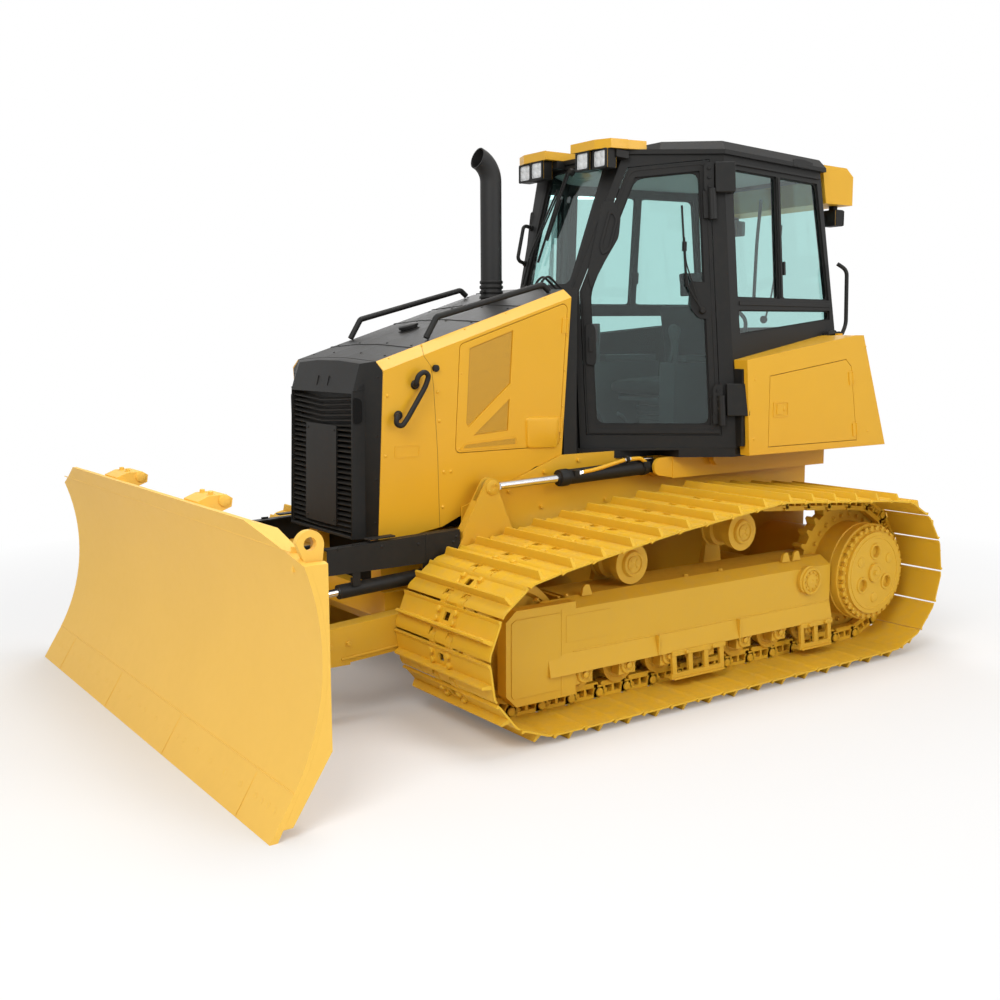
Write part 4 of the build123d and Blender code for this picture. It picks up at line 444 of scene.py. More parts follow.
def oblong(u0, v0, u1, v1):
    """The corners of an oblong between two opposite ones."""
    return [(u0, v0), (u1, v0), (u1, v1), (u0, v1)]


def pane(x, y, half, low, high):
    """The corners of an upright oblong that faces along the machine."""
    return [(x, y - half, low), (x, y + half, low), (x, y + half, high), (x, y - half, high)]


def circle_spots(x, y, z, radius, count, first=0.0):
    """Places spread evenly on a circle in side view; the first is given in steps."""
    angles = (2 * math.pi * (k + first) / count for k in range(count))
    return [(x + radius * math.cos(angle), y, z + radius * math.sin(angle)) for angle in angles]


def bent_corner(before, corner, after, bend, share, steps):
    """The curve in a corner's place, which uses no more than a share of the sides beside it."""
    into, out = before - corner, after - corner
    reach = min(bend, into.length * share, out.length * share)
    start, end = corner + into.normalized() * reach, corner + out.normalized() * reach
    return [start * (1 - t) ** 2 + corner * 2 * t * (1 - t) + end * t ** 2
            for t in (i / (steps - 1) for i in range(steps))]


def bent_route(route, bend):
    """The points of a route with each corner rounded off."""
    route = [Vector(point) for point in route]
    points = [route[0]]
    for corner in zip(route, route[1:], route[2:]):
        points += bent_corner(*corner, bend, share=0.48, steps=6)
    return points + [route[-1]]


def swept_rings(points, radius, sides):
    """Rings of a round section carried along points without twisting."""
    rings, across = [], None
    for i, point in enumerate(points):
        ahead = (points[min(i + 1, len(points) - 1)] - points[max(i - 1, 0)]).normalized()
        across = ahead.orthogonal() if across is None else across - ahead * across.dot(ahead)
        across.normalize()
        rings.append([point + spoke * radius for spoke in spokes(ahead, sides, first=across)])
    return rings


def rounded(points, radius):
    """A flat outline with each corner rounded off, always with the same number of points."""
    points = [Vector(point) for point in points]
    out = []
    for before, corner, after in zip(points[-1:] + points, points, points[1:] + points[:1]):
        out += bent_corner(before, corner, after, radius, share=0.45, steps=5)
    return out


class Wall:
    """A flat wall through three points, listed anticlockwise as seen from outside."""

    def __init__(self, a, b, c):
        self.origin = Vector(a)
        self.along = (Vector(b) - self.origin).normalized()
        self.out = self.along.cross(Vector(c) - self.origin).normalized()
        self.up = self.out.cross(self.along)

    def over(self, x, z, lift=0.0):
        """The point of the wall at this x and z, lifted off its face."""
        n, o = self.out, self.origin
        return Vector((x, o.y - (n.x * (x - o.x) + n.z * (z - o.z)) / n.y, z)) + n * lift

    def inset(self, outline, depth, lift=0.0):
        """An outline of (x, z) pairs moved inwards along the wall."""
        flat = [((p - self.origin).dot(self.along), (p - self.origin).dot(self.up))
                for p in (self.over(x, z) for x, z in outline)]
        way = 1 if sum(a[0] * b[1] - b[0] * a[1] for a, b in with_next(flat)) > 0 else -1
        lines = []
        for a, b in with_next(flat):
            size = math.dist(a, b)
            normal = (-(b[1] - a[1]) / size * way, (b[0] - a[0]) / size * way)
            lines.append((normal, normal[0] * a[0] + normal[1] * a[1] + depth))
        moved = []
        for i in range(len(flat)):
            (n0, d0), (n1, d1) = lines[i - 1], lines[i]
            size = n0[0] * n1[1] - n0[1] * n1[0]
            u = (d0 * n1[1] - d1 * n0[1]) / size
            v = (n0[0] * d1 - n1[0] * d0) / size
            moved.append(self.origin + self.along * u + self.up * v + self.out * lift)
        return moved

    def plate(self, shape, outline, low, high, radius=0.0):
        """A plate on the wall with an outline of (x, z) pairs."""
        points = [self.over(x, z, low) for x, z in outline]
        shape.sweep(rounded(points, radius) if radius else points, self.out * (high - low))


def one_piece(name, draw, body, slot, finish=None, bevel=0.0, smooth=40, flipped=False):
    """A piece that stands alone, or one of a pair."""
    shape = Shape()
    draw(shape)
    if flipped:
        shape.flip()
    return shape.place(name, body, slot, finish, bevel, smooth)


def both_sides(name, draw, body, *look, **more):
    """A left-hand piece and its mirror image; a body name that starts with side_ has one for each side."""
    return [one_piece(f"{side}_{name}", draw, body.replace("side_", side + "_"),
                      *look, flipped=side == "right", **more) for side in ("left", "right")]


# ---------------------------------------------------------------- where things are, in millimetres

TRACK_Y = 967.5                         # the middle of the left track
LINK_COUNT = 40
PIN_PHASE = 0.85                        # of the first pin, in pitches from the idler's lowest point
SPROCKET = (-1692, 489.77, 413.77)      # x, z and the radius that the pins run on
IDLER = (821.395, 421, 345)
CARRIERS = ((-722, 812, 164), (89, 725, 164))
FRAME_OUT = 1152.5                      # the track frame's outer face
ROLLERS_X = [465 - 285 * i for i in range(7)]
ROLLER_Z = 221.3
STACK_X = 217
GRILLE_SLATS = 26
FRONT_LAMPS = ((-308, 215), (-322, 350), (-308, -215), (-322, -350))

DOOR_WALL = Wall((-229, 341, 1318), (-915, 830, 1320), (-875, 715, 2950))
QUARTER_WALL = Wall((-915, 830, 1320), (-2015, 600, 1930), (-875, 715, 2950))
WINDSHIELD = Wall((-164, -238, 2150), (-164, 238, 2150), (-409, 285, 2900))
HOOD_SIDE = Wall((1215, 442.6, 1000), (45, 407.6, 1000), (45, 454.3, 1500))
GLASS_BACK = -17.8                      # how far behind the cab's walls the seals start
CAB_DOOR = [(-216, 1330), (-844, 1325), (-809, 2868), (-439, 2826), (-203, 2144)]
QUARTER_WINDOWS = ([(-975, 2105), (-1412, 2107), (-1412, 2825), (-960, 2825)],
                   [(-1452, 2107), (-1980, 2110), (-1872, 2825), (-1452, 2825)],
                   [(-985, 1895), (-1985, 1990), (-1985, 2045), (-980, 2035)])


def fold_z(x):
    """Height of the fold between the hood's side and its shoulder."""
    return 1722 + (1215 - x) * 0.32


# ---------------------------------------------------------------- tracks

def chain_spans():
    """The chain's straight runs and arcs, from the idler's lowest point."""
    circles = [IDLER, SPROCKET, *CARRIERS]
    pairs = with_next(circles)
    normals = []
    for a, b in pairs:
        dx, dz = b[0] - a[0], b[1] - a[1]
        normals.append(math.atan2(dz, dx) + math.acos((a[2] - b[2]) / math.hypot(dx, dz)))
    spans = []
    for (a, b), (n, after) in zip(pairs, with_next(normals)):
        start, end = ((c[0] + c[2] * math.cos(n), c[1] + c[2] * math.sin(n)) for c in (a, b))
        spans.append((math.dist(start, end), start, end))
        spans.append((b[2] * ((n - after) % (2 * math.pi)), b, n))
    return spans


def chain_pins():
    """x, z of each pin along the chain."""
    spans = chain_spans()
    total = sum(span[0] for span in spans)
    pins = []
    for i in range(LINK_COUNT):
        way = (i + PIN_PHASE) / LINK_COUNT * total % total
        for length, first, second in spans:
            if way <= length:
                break
            way -= length
        if isinstance(second, tuple):
            pins.append(Vector(first).lerp(Vector(second), way / length))
        else:
            angle = second - way / first[2]
            pins.append(Vector((first[0] + first[2] * math.cos(angle),
                                first[1] + first[2] * math.sin(angle))))
    return pins


class Link:
    """One link's own axes: along the chain, out from it, and across the track."""

    def __init__(self, a, b):
        self.a = a
        self.length = (b - a).length
        self.along = (b - a).normalized()
        self.out = Vector((-self.along.y, self.along.x))

    def at(self, way, height, y):
        p = self.a + self.along * way + self.out * height
        return Vector((p.x, TRACK_Y + y, p.y))

    def extrude(self, shape, section, y0, y1):
        shape.sweep([self.at(way, height, y0) for way, height in section], (0, y1 - y0, 0))

    def screws(self, shape, height, y, way, profile, sides):
        """The two screws of a link, whose axis runs out from the chain or in towards it."""
        for place in (50, 98):
            shape.turned(self.at(place, height, y), self.at(0, way, 0) - self.at(0, 0, 0), profile, sides)


def chain_links():
    return [Link(a, b) for a, b in with_next(chain_pins())]


SHOE_SECTION = [(17, 31), (19, 47), (26, 46), (36, 37), (136, 36), (178, 36), (192, 32), (205, 25), (203, 19),
                (186, 25), (176, 27), (40, 27)]
GROUSER_SECTION = [(114, 35), (118, 74), (120, 76), (129, 76), (131, 74), (136, 35)]
WINDOW_PARTS = [SHOE_SECTION[:4] + [(143, 36), (143, 27), (40, 27)],
                [(183, 35), (192, 32), (205, 25), (203, 19), (186, 25), (183, 26)]]
SLOT_PARTS = [SHOE_SECTION[:4] + [(54, 37), (54, 27), (40, 27)], [(94, 36)] + SHOE_SECTION[5:11] + [(94, 27)]]
SHOE_BANDS = [  # from y to y, and the parts of the section that a window or a slot leaves there
    (-412.5, -104, [SHOE_SECTION]), (-104, -46, WINDOW_PARTS), (-46, -22, [SHOE_SECTION]),
    (-22, 22, SLOT_PARTS), (22, 46, [SHOE_SECTION]), (46, 104, WINDOW_PARTS), (104, 412.5, [SHOE_SECTION])]
GROUSER_REACH, GROUSER_TRIM = 408, 22


def draw_shoes(shape):
    """The shoes of a whole track, each with its grouser and its bolts."""
    for link in chain_links():
        for y0, y1, parts in SHOE_BANDS:
            for part in parts:
                link.extrude(shape, part, y0, y1)
        shape.loft([[link.at(way, height, side * (GROUSER_REACH - GROUSER_TRIM * (height > 60)))
                     for way, height in GROUSER_SECTION] for side in (-1, 1)])
        for y in (-71.5, 71.5):
            link.screws(shape, 36, y, 1, [(0, 21), (4, 21), (4, 17), (13, 16), (17, 11)], 10)


LINK_BAR = [(30, 26), (158, 26), (158, 8), (30, 8)]
RAIL_BAR = [(14, -55), (172, -55), (178, -46), (166, -28), (20, -28), (8, -46)]


def draw_chain(shape):
    """The links, pins and bushings of a whole track."""
    for link in chain_links():
        for side in (1, -1):
            inner, middle, outer = 48 * side, 71 * side, 95 * side
            link.extrude(shape, LINK_BAR, inner, outer)
            link.extrude(shape, RAIL_BAR, inner, outer)
            for low, high in ((26, 42), (84, 102), (142, 160)):
                link.extrude(shape, [(low, 9), (high, 9), (high - 3, -29), (low + 3, -29)], inner + side * 3,
                             outer - side * 3)
            for way, (x0, x1), y0, y1 in ((0, (14, 40), inner, middle),
                                          (link.length, (148, 172), middle + side, outer)):
                shape.turned(link.at(way, 0, y0), (0, side, 0), [(0, 37), (abs(y1 - y0), 37)], 16)
                link.extrude(shape, oblong(x0, -44, x1, 24), y0, y1)
                link.extrude(shape, [(way - 24, -26), (way + 24, -26), (way + 30, 6), (way + 10, 26),
                                     (way - 10, 26), (way - 30, 6)], y0, y1)
            link.screws(shape, 8, 71.5 * side, -1, [(0, 19), (15, 19), (18, 15)], 6)
        shape.turned(link.at(0, 0, -102), OUTWARD,
                     [(0, 12), (1, 20), (6, 24), (198, 24), (203, 20), (204, 12)], 14)
        shape.turned(link.at(0, 0, -47), OUTWARD, [(0, 30), (94, 30)], 14)


class BULLDOZER_OT_tracks(bpy.types.Operator):
    """Build the shoes with their grousers and bolts, and the chains of links, pins and bushings"""

    bl_idname = "bulldozer.tracks"
    bl_label = "Tracks"

    def execute(self, context):
        for name, draw in (("track_shoes", draw_shoes), ("track_chain", draw_chain)):
            for side, piece in zip(("left", "right"), both_sides(name, draw, "tractor", "track_yellow")):
                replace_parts(piece, side + "_track")
        return {"FINISHED"}


# ---------------------------------------------------------------- undercarriage

def draw_roller_ends(shape):
    """Shaft ends, seals and bolts of the track rollers and the carrier rollers."""
    for x in ROLLERS_X:
        shape.turned((x, FRAME_OUT - 8, ROLLER_Z), OUTWARD,
                     [(0, 44), (8, 44), (12, 40), (12, 30), (9, 28), (9, 20)], 24)
        shape.bolt((x, FRAME_OUT + 1, ROLLER_Z), OUTWARD, 36, 15)
        shape.bolts([(x + way, FRAME_OUT - 6, ROLLER_Z + 14) for way in (-42, 42)], OUTWARD, 20, 12)
        for radius in (58, 80):
            shape.band((x, 1078, ROLLER_Z), OUTWARD,
                       [(0, radius - 5), (0, radius + 3), (4, radius), (4, radius - 2)], 28)
    for x, z, _ in CARRIERS:
        face = TRACK_Y + 118
        shape.band((x, face - 0.5, z), OUTWARD, [(0, 50), (0, 65), (5, 63), (7, 56), (5, 52)], 32)
        shape.turned((x, face - 0.5, z), OUTWARD, [(0, 40), (5, 39), (7, 34), (7, 12), (4, 9)], 24)
        shape.bolts(circle_spots(x, face + 5, z, 27, 4, 0.5), OUTWARD, 10, 5)


def draw_guards(shape):
    """Track-guiding guards that hang under the frame between the rollers."""
    y = FRAME_OUT + 7
    for x0, x1, posts in ((-105, -495, 4), (-1110, -1385, 3)):
        for outline, low, high in (
                ([(x0, 250), (x1, 250), (x1 - 4, 222), (x0 + 4, 222)], 0, 22),
                ([(x0 - 8, 128), (x1 + 4, 128), (x1 - 2, 98), (x0 + 2, 98)], 0, 20),
                ([(x0 - 20, 106), (x1 + 20, 106), (x1 + 10, 96), (x0 - 10, 96)], -50, 34)):
            shape.side_plate(outline, y + low, y + high)
        for k in range(posts):
            x = x0 - 20 + (x1 - x0 + 40) * k / (posts - 1)
            shape.side_plate([(x + 20, 226), (x - 12, 226), (x - 20, 124), (x + 10, 124)], y, y + 18)
        shape.bolts([(x0 + (x1 - x0) * share, y + 22, 236) for share in (0.25, 0.75)], OUTWARD, 20, 12)


def draw_frame_fittings(shape):
    """Covers, lugs, bolts and welds of a track frame."""
    y = FRAME_OUT
    # the cover over the idler's recoil, the lid behind it and the seam between them
    for outline, low, high in (([(622, 172), (904, 172), (916, 190), (916, 540), (890, 556), (622, 556)],
                                0.5, 5),
                               (oblong(300, 400, 585, 535), 0, 3), (oblong(607, 140, 615, 570), 0.5, 3)):
        shape.side_plate(outline, y + low, y + high)
    # round end cover of the pivot shaft
    x, z = -1194, 491
    shape.band((x, y + 20, z), OUTWARD, [(0, 62), (0, 79), (8, 79), (12, 74), (12, 66), (6, 62)], 32)
    shape.turned((x, y + 20, z), OUTWARD, [(0, 40), (6, 39), (9, 30), (9, 10), (6, 8)], 24)
    shape.bolts(circle_spots(x, y + 21, z, 52, 10), OUTWARD, 12, 9)
    # lifting lugs on the top, and bolts beside them
    for x in (-1060, -1150, 410):
        shape.side_plate([(x - 34, 606), (x + 34, 606), (x + 24, 648), (x + 8, 662), (x - 14, 658)],
                         TRACK_Y + 118, TRACK_Y + 134)
    shape.bolts([(x, TRACK_Y + 100, 610) for x in (700, 520, -300, -560)], UP, 26, 14)
    shape.block((560, TRACK_Y - 100, 609), (575, TRACK_Y + 108, 616))
    # weld along the fold, and ribs on it
    shape.bar([(540, y - 1, 350), (-1380, y - 1, 350)], 5, 1, 6)
    for x in (-620, -20):
        shape.side_plate(oblong(x, 245, x + 12, 350), y + 2, y + 27)


def draw_sprocket_fittings(shape):
    """Bolt circles, rims and plugs of a sprocket and its final drive."""
    x, z, _ = SPROCKET
    face = TRACK_Y + 264.5              # the final drive's outer face
    shape.bolts(circle_spots(x, TRACK_Y + 246, z, 262, 33, 0.5), OUTWARD, 17, 11)
    shape.bolts(circle_spots(x, TRACK_Y + 34, z, 322, 28, 0.5), OUTWARD, 26, 16)
    for y, profile, sides in ((face - 0.5, [(0, 206), (0, 222), (4, 220), (4, 208)], 48),
                              (TRACK_Y + 150, [(0, 284), (0, 291), (10, 291), (14, 284)], 56),
                              (TRACK_Y + 206, [(0, 284), (0, 290), (12, 290), (16, 284)], 56)):
        shape.band((x, y, z), OUTWARD, profile, sides)
    for spot, plug in zip(circle_spots(x, face - 0.5, z, 128, 3, 0.75),
                          circle_spots(x, face - 0.5, z, 150, 3, 1.25)):
        shape.band(spot, OUTWARD, [(0, 35), (0, 50), (7, 48), (9, 42), (7, 36)], 28)
        shape.turned(plug, OUTWARD, [(0, 30), (5, 28), (8, 20), (8, 4)], 20)
    shape.band((x, face + 9.5, z), OUTWARD, [(0, 40), (0, 57), (4, 55), (4, 42)], 32)
    shape.bolt((x, face + 9.5, z), OUTWARD, 34, 9)


class BULLDOZER_OT_undercarriage(bpy.types.Operator):
    """Build the rollers' ends, the guards, covers and bolts of the track frames and the sprockets' bolts"""

    bl_idname = "bulldozer.undercarriage"
    bl_label = "Undercarriage"

    def execute(self, context):
        for name, draw, bevel in (("roller_ends", draw_roller_ends, 0), ("track_guards", draw_guards, 2.5),
                                  ("track_frame_fittings", draw_frame_fittings, 1.5),
                                  ("sprocket_fittings", draw_sprocket_fittings, 0)):
            both_sides(name, draw, "tractor", "track_frame_yellow", bevel=bevel)
        return {"FINISHED"}


# ---------------------------------------------------------------- hood

def draw_side_handle(shape):
    at = HOOD_SIDE.over
    shape.bar([at(1031, 1650), at(1050, 1651, 38), at(1040, 1700, 42), at(1004, 1720, 42), at(976, 1700, 42),
               at(994, 1645, 42), at(1095, 1487, 42), at(1125, 1450, 42), at(1160, 1464, 42),
               at(1152, 1505, 38), at(1124, 1500)], 13, 22, 12)
    for x, z in ((1031, 1650), (1124, 1500)):
        shape.turned(at(x, z), HOOD_SIDE.out, [(0, 24), (5, 24), (8, 20), (18, 16)], 20)


def draw_hood_knob(shape):
    shape.turned(HOOD_SIDE.over(914, 1730), HOOD_SIDE.out,
                 [(0, 17), (3, 17), (3, 12), (8, 12), (9, 18), (16, 18), (18, 14), (18, 3)], 20)


def draw_side_fittings(shape):
    at, out = HOOD_SIDE.over, HOOD_SIDE.out
    shape.rivets([at(x, z) for x, z in ((874, 1461), (834, 1195), (790, 1195), (892, 1610), (830, 1010),
                                        (1188, 1600), (1188, 1300))], out, 10)
    shape.rivets([at(58, z) for z in (1930, 1892, 1702, 1505, 1330, 1230)], out, 7)
    # rim of the bare plate's place
    shape.frame([at(x, z) for x, z in oblong(1136, 1284, 988, 1345)],
                [at(x, z) for x, z in oblong(1131, 1289, 993, 1340)], out * 2)
    # bolts on the shoulder
    shape.rivets([(x, 452, fold_z(x) + 38) for x in (1150, 960, 700, 440, 180)], (0.2, 0.55, 0.8), 6)


def draw_side_seam_shade(shape):
    """The seams in front of the engine door and over the shoulder above it, drawn as dark strips of painted
    shade.
    """
    line = [(985, 1793), (938, 1740), (918, 1640), (878, 1300), (846, 905)]
    for (x0, z0), (x1, z1) in zip(line, line[1:]):
        HOOD_SIDE.plate(shape, [(x0 + 1.6, z0), (x0 - 1.6, z0), (x1 - 1.6, z1), (x1 + 1.6, z1)], -0.5, 0.7)
    x, z = 985, fold_z(985)
    shape.sweep([(x + 1.6, 510.3, z), (x - 1.6, 510.3, z), (x - 31.6, 440.5, z + 55),
                 (x - 28.4, 440.5, z + 55)], (0, 0.4, 0.6))


def draw_door_pad(shape):
    """The pressed pad and the pressed slot of the engine door."""
    out = HOOD_SIDE.out
    outline = [(318, 1458), (84, 1450), (84, 1276), (300, 1286)]
    foot = rounded([HOOD_SIDE.over(x, z, -0.5) for x, z in outline], 26)
    middle, top = (rounded([p + out * lift for p in HOOD_SIDE.inset(outline, depth)], radius)
                   for depth, lift, radius in ((5, 11, 24), (14, 15, 20)))
    shape.loft([foot, middle, top])
    slot = [(722, 1308), (704, 1330), (372, 1350), (370, 1310)]
    shape.frame(rounded(HOOD_SIDE.inset(slot, -8, -0.5), 14), rounded(HOOD_SIDE.inset(slot, 0, -0.5), 10),
                out * 3)
    shape.rivets([HOOD_SIDE.over(x, z) for x, z in ((740, 1308), (748, 1700))], out, 6)


def draw_mesh_sheets(shape):
    """Perforated sheets: two sunk behind the engine door's windows, and one in its slot."""
    for outline, low, high in (
            ([(434, 1912), (434, 1642), (688, 1427), (701, 1444), (701, 1824)], -7.9, -5),
            ([(434, 1554), (434, 1394), (647, 1379)], -7.9, -5),
            ([(716, 1311), (700, 1327), (377, 1346), (375, 1314)], -0.5, 0.8)):
        HOOD_SIDE.plate(shape, outline, low, high)


def hood_crown(x, y):
    """Height of the hood's top sheet."""
    return fold_z(x) + 45 + 16 * min(1, (440 - abs(y)) / 320)


def draw_hood_fittings(shape):
    lean = (0.305, 0, 0.952)            # square to the hood's top
    shape.rivets([(x, y, hood_crown(x, y) - 0.5) for x in (1140, 985, 620, 385, 110)
                  for y in (-395, -150, 150, 395)], lean, 8)
    # seams of the top sheets
    for x in (1010, 600, 340):
        shape.loft([[(x + way, y, hood_crown(x, y) + rise)
                     for way, rise in ((-5, 0), (5, -2), (5, 2), (-5, 5))]
                    for y in (-438, -120, 120, 438)])
    # filler cap and its neck
    shape.turned((760, 0, hood_crown(760, 0) - 2), lean,
                 [(0, 62), (4, 62), (6, 48), (12, 48), (14, 55), (26, 55), (30, 48)], 28)
    # collar at the stack's foot
    for z, radius in ((2074, 74), (2100, 68), (2128, 67), (2156, 67), (2184, 66)):
        shape.band((STACK_X, 0, z), UP, [(0, 60), (0, radius - 3), (4, radius), (14, radius),
                                         (18, radius - 3), (18, 60)], 32)
    shape.bolt((STACK_X + 66, 20, 2137), (1, 0.2, 0), 18, 14)
    # washer pipes at the windshield's foot
    for y in (170, 215):
        shape.bar([(20, y, 2125), (35, y, 2180), (-10, y + 12, 2230), (-60, y + 16, 2190),
                   (-110, y + 20, 2152)], 7, 40, 8)


def nose_ring(*points):
    """A closed ring across the nose from the points of its left half, bottom to top."""
    return [*points, *((x, -y, z) for x, y, z in reversed(points) if y)]


def draw_nose(shape):
    """The nose cowl: its sides run in to a grille opening that leans back."""
    shape.loft([
        nose_ring((1213, 430, 872), (1213, 508, 1722), (1213, 439, 1766), (1213, 120, 1782), (1213, 0, 1782)),
        nose_ring((1249, 360, 873), (1249, 378, 1660), (1232, 398, 1762), (1232, 120, 1777), (1232, 0, 1777)),
        nose_ring((1325, 354, 876), (1302, 350, 1612), (1254, 340, 1754), (1256, 120, 1768), (1256, 0, 1768)),
        nose_ring((1326, 350, 890), (1304, 340, 1604), (1303, 330, 1606), (1303, 120, 1606), (1303, 0, 1606)),
        nose_ring((1266, 346, 892), (1244, 338, 1602), (1243, 330, 1604), (1243, 120, 1604),
                  (1243, 0, 1604))])
    lean = 0.073                        # of the cowl's side at its bolts, sideways for each millimetre up
    for side in (1, -1):
        # the seam under the cap, the bolts of the sides and the pressed lines over the grille
        shape.sweep([(1249, side * 377, 1628), (1249, side * 377, 1634), (1302, side * 351, 1622),
                     (1302, side * 351, 1616)], (1.5, side * 2, 0))
        shape.rivets([(1223, side * (409 + lean * (z - 872)), z) for z in (960, 1180, 1400, 1690)],
                     (0.93, side * 0.37, 0), 6)
        shape.side_plate([(1278, 1690), (1284, 1690), (1296, 1640), (1290, 1640)],
                         side * 60 - 2, side * 60 + 2)


def draw_air_slot_shade(shape):
    """Tall slots in the cowl's corners, beside the top of the grille, drawn as dark plates of painted shade.
    """
    near, far = Vector((1305, 351, 0)), Vector((1250, 374.5, 0))
    out = Vector((0.39, 0.92, 0))
    spots = rounded([near.lerp(far, share) + Vector((0, 0, z)) for share, z in
                     ((0.06, 1455), (0.80, 1462), (0.80, 1578), (0.06, 1590))], 28)
    for side in (1, -1):
        mirror = Vector((1, side, 1))
        shape.sweep([p * mirror for p in spots], out * mirror * 5)


def draw_nose_grille(shape):
    """Slats bent to a shallow V, their side rails and the plate that covers the middle."""
    def front(z):
        """x of the grille opening's front edge at this height."""
        return 1303 + (1606 - z) * 22 / 716
    for i in range(GRILLE_SLATS):
        z = 900 + (i + 0.5) * 700 / GRILLE_SLATS
        x = front(z) - 26
        drop = 18 if z > 1430 else 6
        for ends in (((-343, z), (0, z - drop)), ((0, z - drop), (343, z))):
            shape.loft([[(x + way, y, height + rise) for way, rise in ((0, 0), (18, -7), (19, -3), (0, 6))]
                        for y, height in ends])
    for side in (1, -1):
        shape.loft([[(front(z) - back, side * y, z) for back, y in ((44, 334), (44, 348), (8, 348), (8, 334))]
                    for z in (893, 1603)])
    shape.sweep(rounded([(front(level) - 3, y, z) for level, y, z in (
        (925, 176, 925), (1448, 172, 1440), (1448, -172, 1440), (925, -176, 925))], 10), (-12, 0, 0))
    shape.rivets([(front(z) - 3, y, z) for y in (-150, 150) for z in (950, 1415)], (1, 0, 0.03), 7)


def draw_engine_skirt(shape):
    """The plate that closes the side below the hood, from the nose to the deck."""
    shape.side_plate([(720, 850), (720, 1000), (60, 1236), (-420, 1236), (-420, 850)], 434, 444)
    shape.bolts([(x, 443.5, z) for x, z in ((420, 1060), (180, 1150), (-60, 1200), (200, 960), (-260, 960))],
                OUTWARD, 22, 12)


class BULLDOZER_OT_hood(bpy.types.Operator):
    """Build the hood's handles, pads, perforated sheets, the painted shade of its seams and its rivets, the
    nose and the stack's collar
    """

    bl_idname = "bulldozer.hood"
    bl_label = "Hood"

    def execute(self, context):
        for row in (("hood_handle", draw_side_handle, "tractor", "black_paint"),
                    ("hood_knob", draw_hood_knob, "tractor", "black_paint"),
                    ("hood_side_fittings", draw_side_fittings, "tractor", "body_yellow"),
                    # the seams are dark strips of painted shade
                    ("hood_side_seams", draw_side_seam_shade, "tractor", "body_yellow", "seam"),
                    ("engine_door_pads", draw_door_pad, "side_engine_door", "body_yellow"),
                    ("engine_door_mesh", draw_mesh_sheets, "side_engine_door", "body_yellow", "perforated")):
            both_sides(*row)
        one_piece("hood_top_fittings", draw_hood_fittings, "tractor", "black_paint")
        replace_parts(one_piece("nose_cowl", draw_nose, "tractor", "black_paint", bevel=3, smooth=30),
                    "nose_shell")
        # dark plates of painted shade over the cowl's air slots
        one_piece("nose_air_slot_shade", draw_air_slot_shade, "tractor", "radiator_core")
        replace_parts(one_piece("nose_grille", draw_nose_grille, "tractor", "black_paint"), "grille")
        both_sides("engine_skirt", draw_engine_skirt, "tractor", "body_yellow")
        return {"FINISHED"}


# ---------------------------------------------------------------- cab

def draw_seal(shape, wall, outline, margin, width, low, high, corner):
    """A seal between an opening's edge and the glass, with rounded inner corners."""
    outer = rounded(wall.inset(outline, margin, low), 6)
    inner = rounded(wall.inset(outline, margin + width, low), corner)
    shape.frame(outer, inner, wall.out * (high - low))


def draw_door_trim(shape):
    """The door's seals, the gusset at its upper front corner, its latch and its sill."""
    draw_seal(shape, DOOR_WALL, CAB_DOOR, 54.5, 9, GLASS_BACK, -13, 50)
    draw_seal(shape, DOOR_WALL, CAB_DOOR, 10, 12, -0.5, 3, 40)
    # rim of the slot in the gusset
    outer = [(-362, 2588), (-388, 2545), (-346, 2368), (-308, 2340), (-298, 2396), (-346, 2590)]
    inner = [(-362, 2570), (-375, 2540), (-340, 2382), (-316, 2364), (-311, 2398), (-352, 2572)]
    shape.frame(rounded([DOOR_WALL.over(x, z, 6) for x, z in outer], 20),
                rounded([DOOR_WALL.over(x, z, 6) for x, z in inner], 12), DOOR_WALL.out * 9)
    for outline, low, high, corner in (
            # gusset
            ([(-252, 2150), (-322, 2308), (-388, 2440), (-400, 2556), (-366, 2652), (-318, 2642),
              (-240, 2250)],
             -16, 7, 24),
            # latch at the front edge
            ([(-222, 1728), (-262, 1722), (-270, 1760), (-270, 1930), (-258, 1958), (-222, 1950)], 0, 16, 14),
            (oblong(-236, 1800, -256, 1880), 15, 26, 6),
            # sill under the glass
            ([(-226, 1336), (-838, 1331), (-838, 1352), (-226, 1357)], 0, 6, 0)):
        DOOR_WALL.plate(shape, outline, low, high, corner)


def draw_door_hinges(shape):
    """Leaves with their three bolts, on the door."""
    for z0, z1, x in ((2682, 2850, -826), (1440, 1612, -850)):
        DOOR_WALL.plate(shape, [(x + 44, z0 + 22), (x + 30, z0), (x, z0), (x - 2, z1), (x + 30, z1),
                                (x + 44, z1 - 22)], 25, 31, 8)
        shape.bolts([DOOR_WALL.over(x + 21, z0 + (z1 - z0) * share, 31) for share in (0.2, 0.5, 0.8)],
                    DOOR_WALL.out, 18, 9)


def draw_hinge_blocks(shape):
    """Blocks behind the hinges, on the cab's frame."""
    for corners in ((-832, 2684, -924, 2850), (-868, 1432, -974, 1616)):
        DOOR_WALL.plate(shape, oblong(*corners), -30, 46, 8)


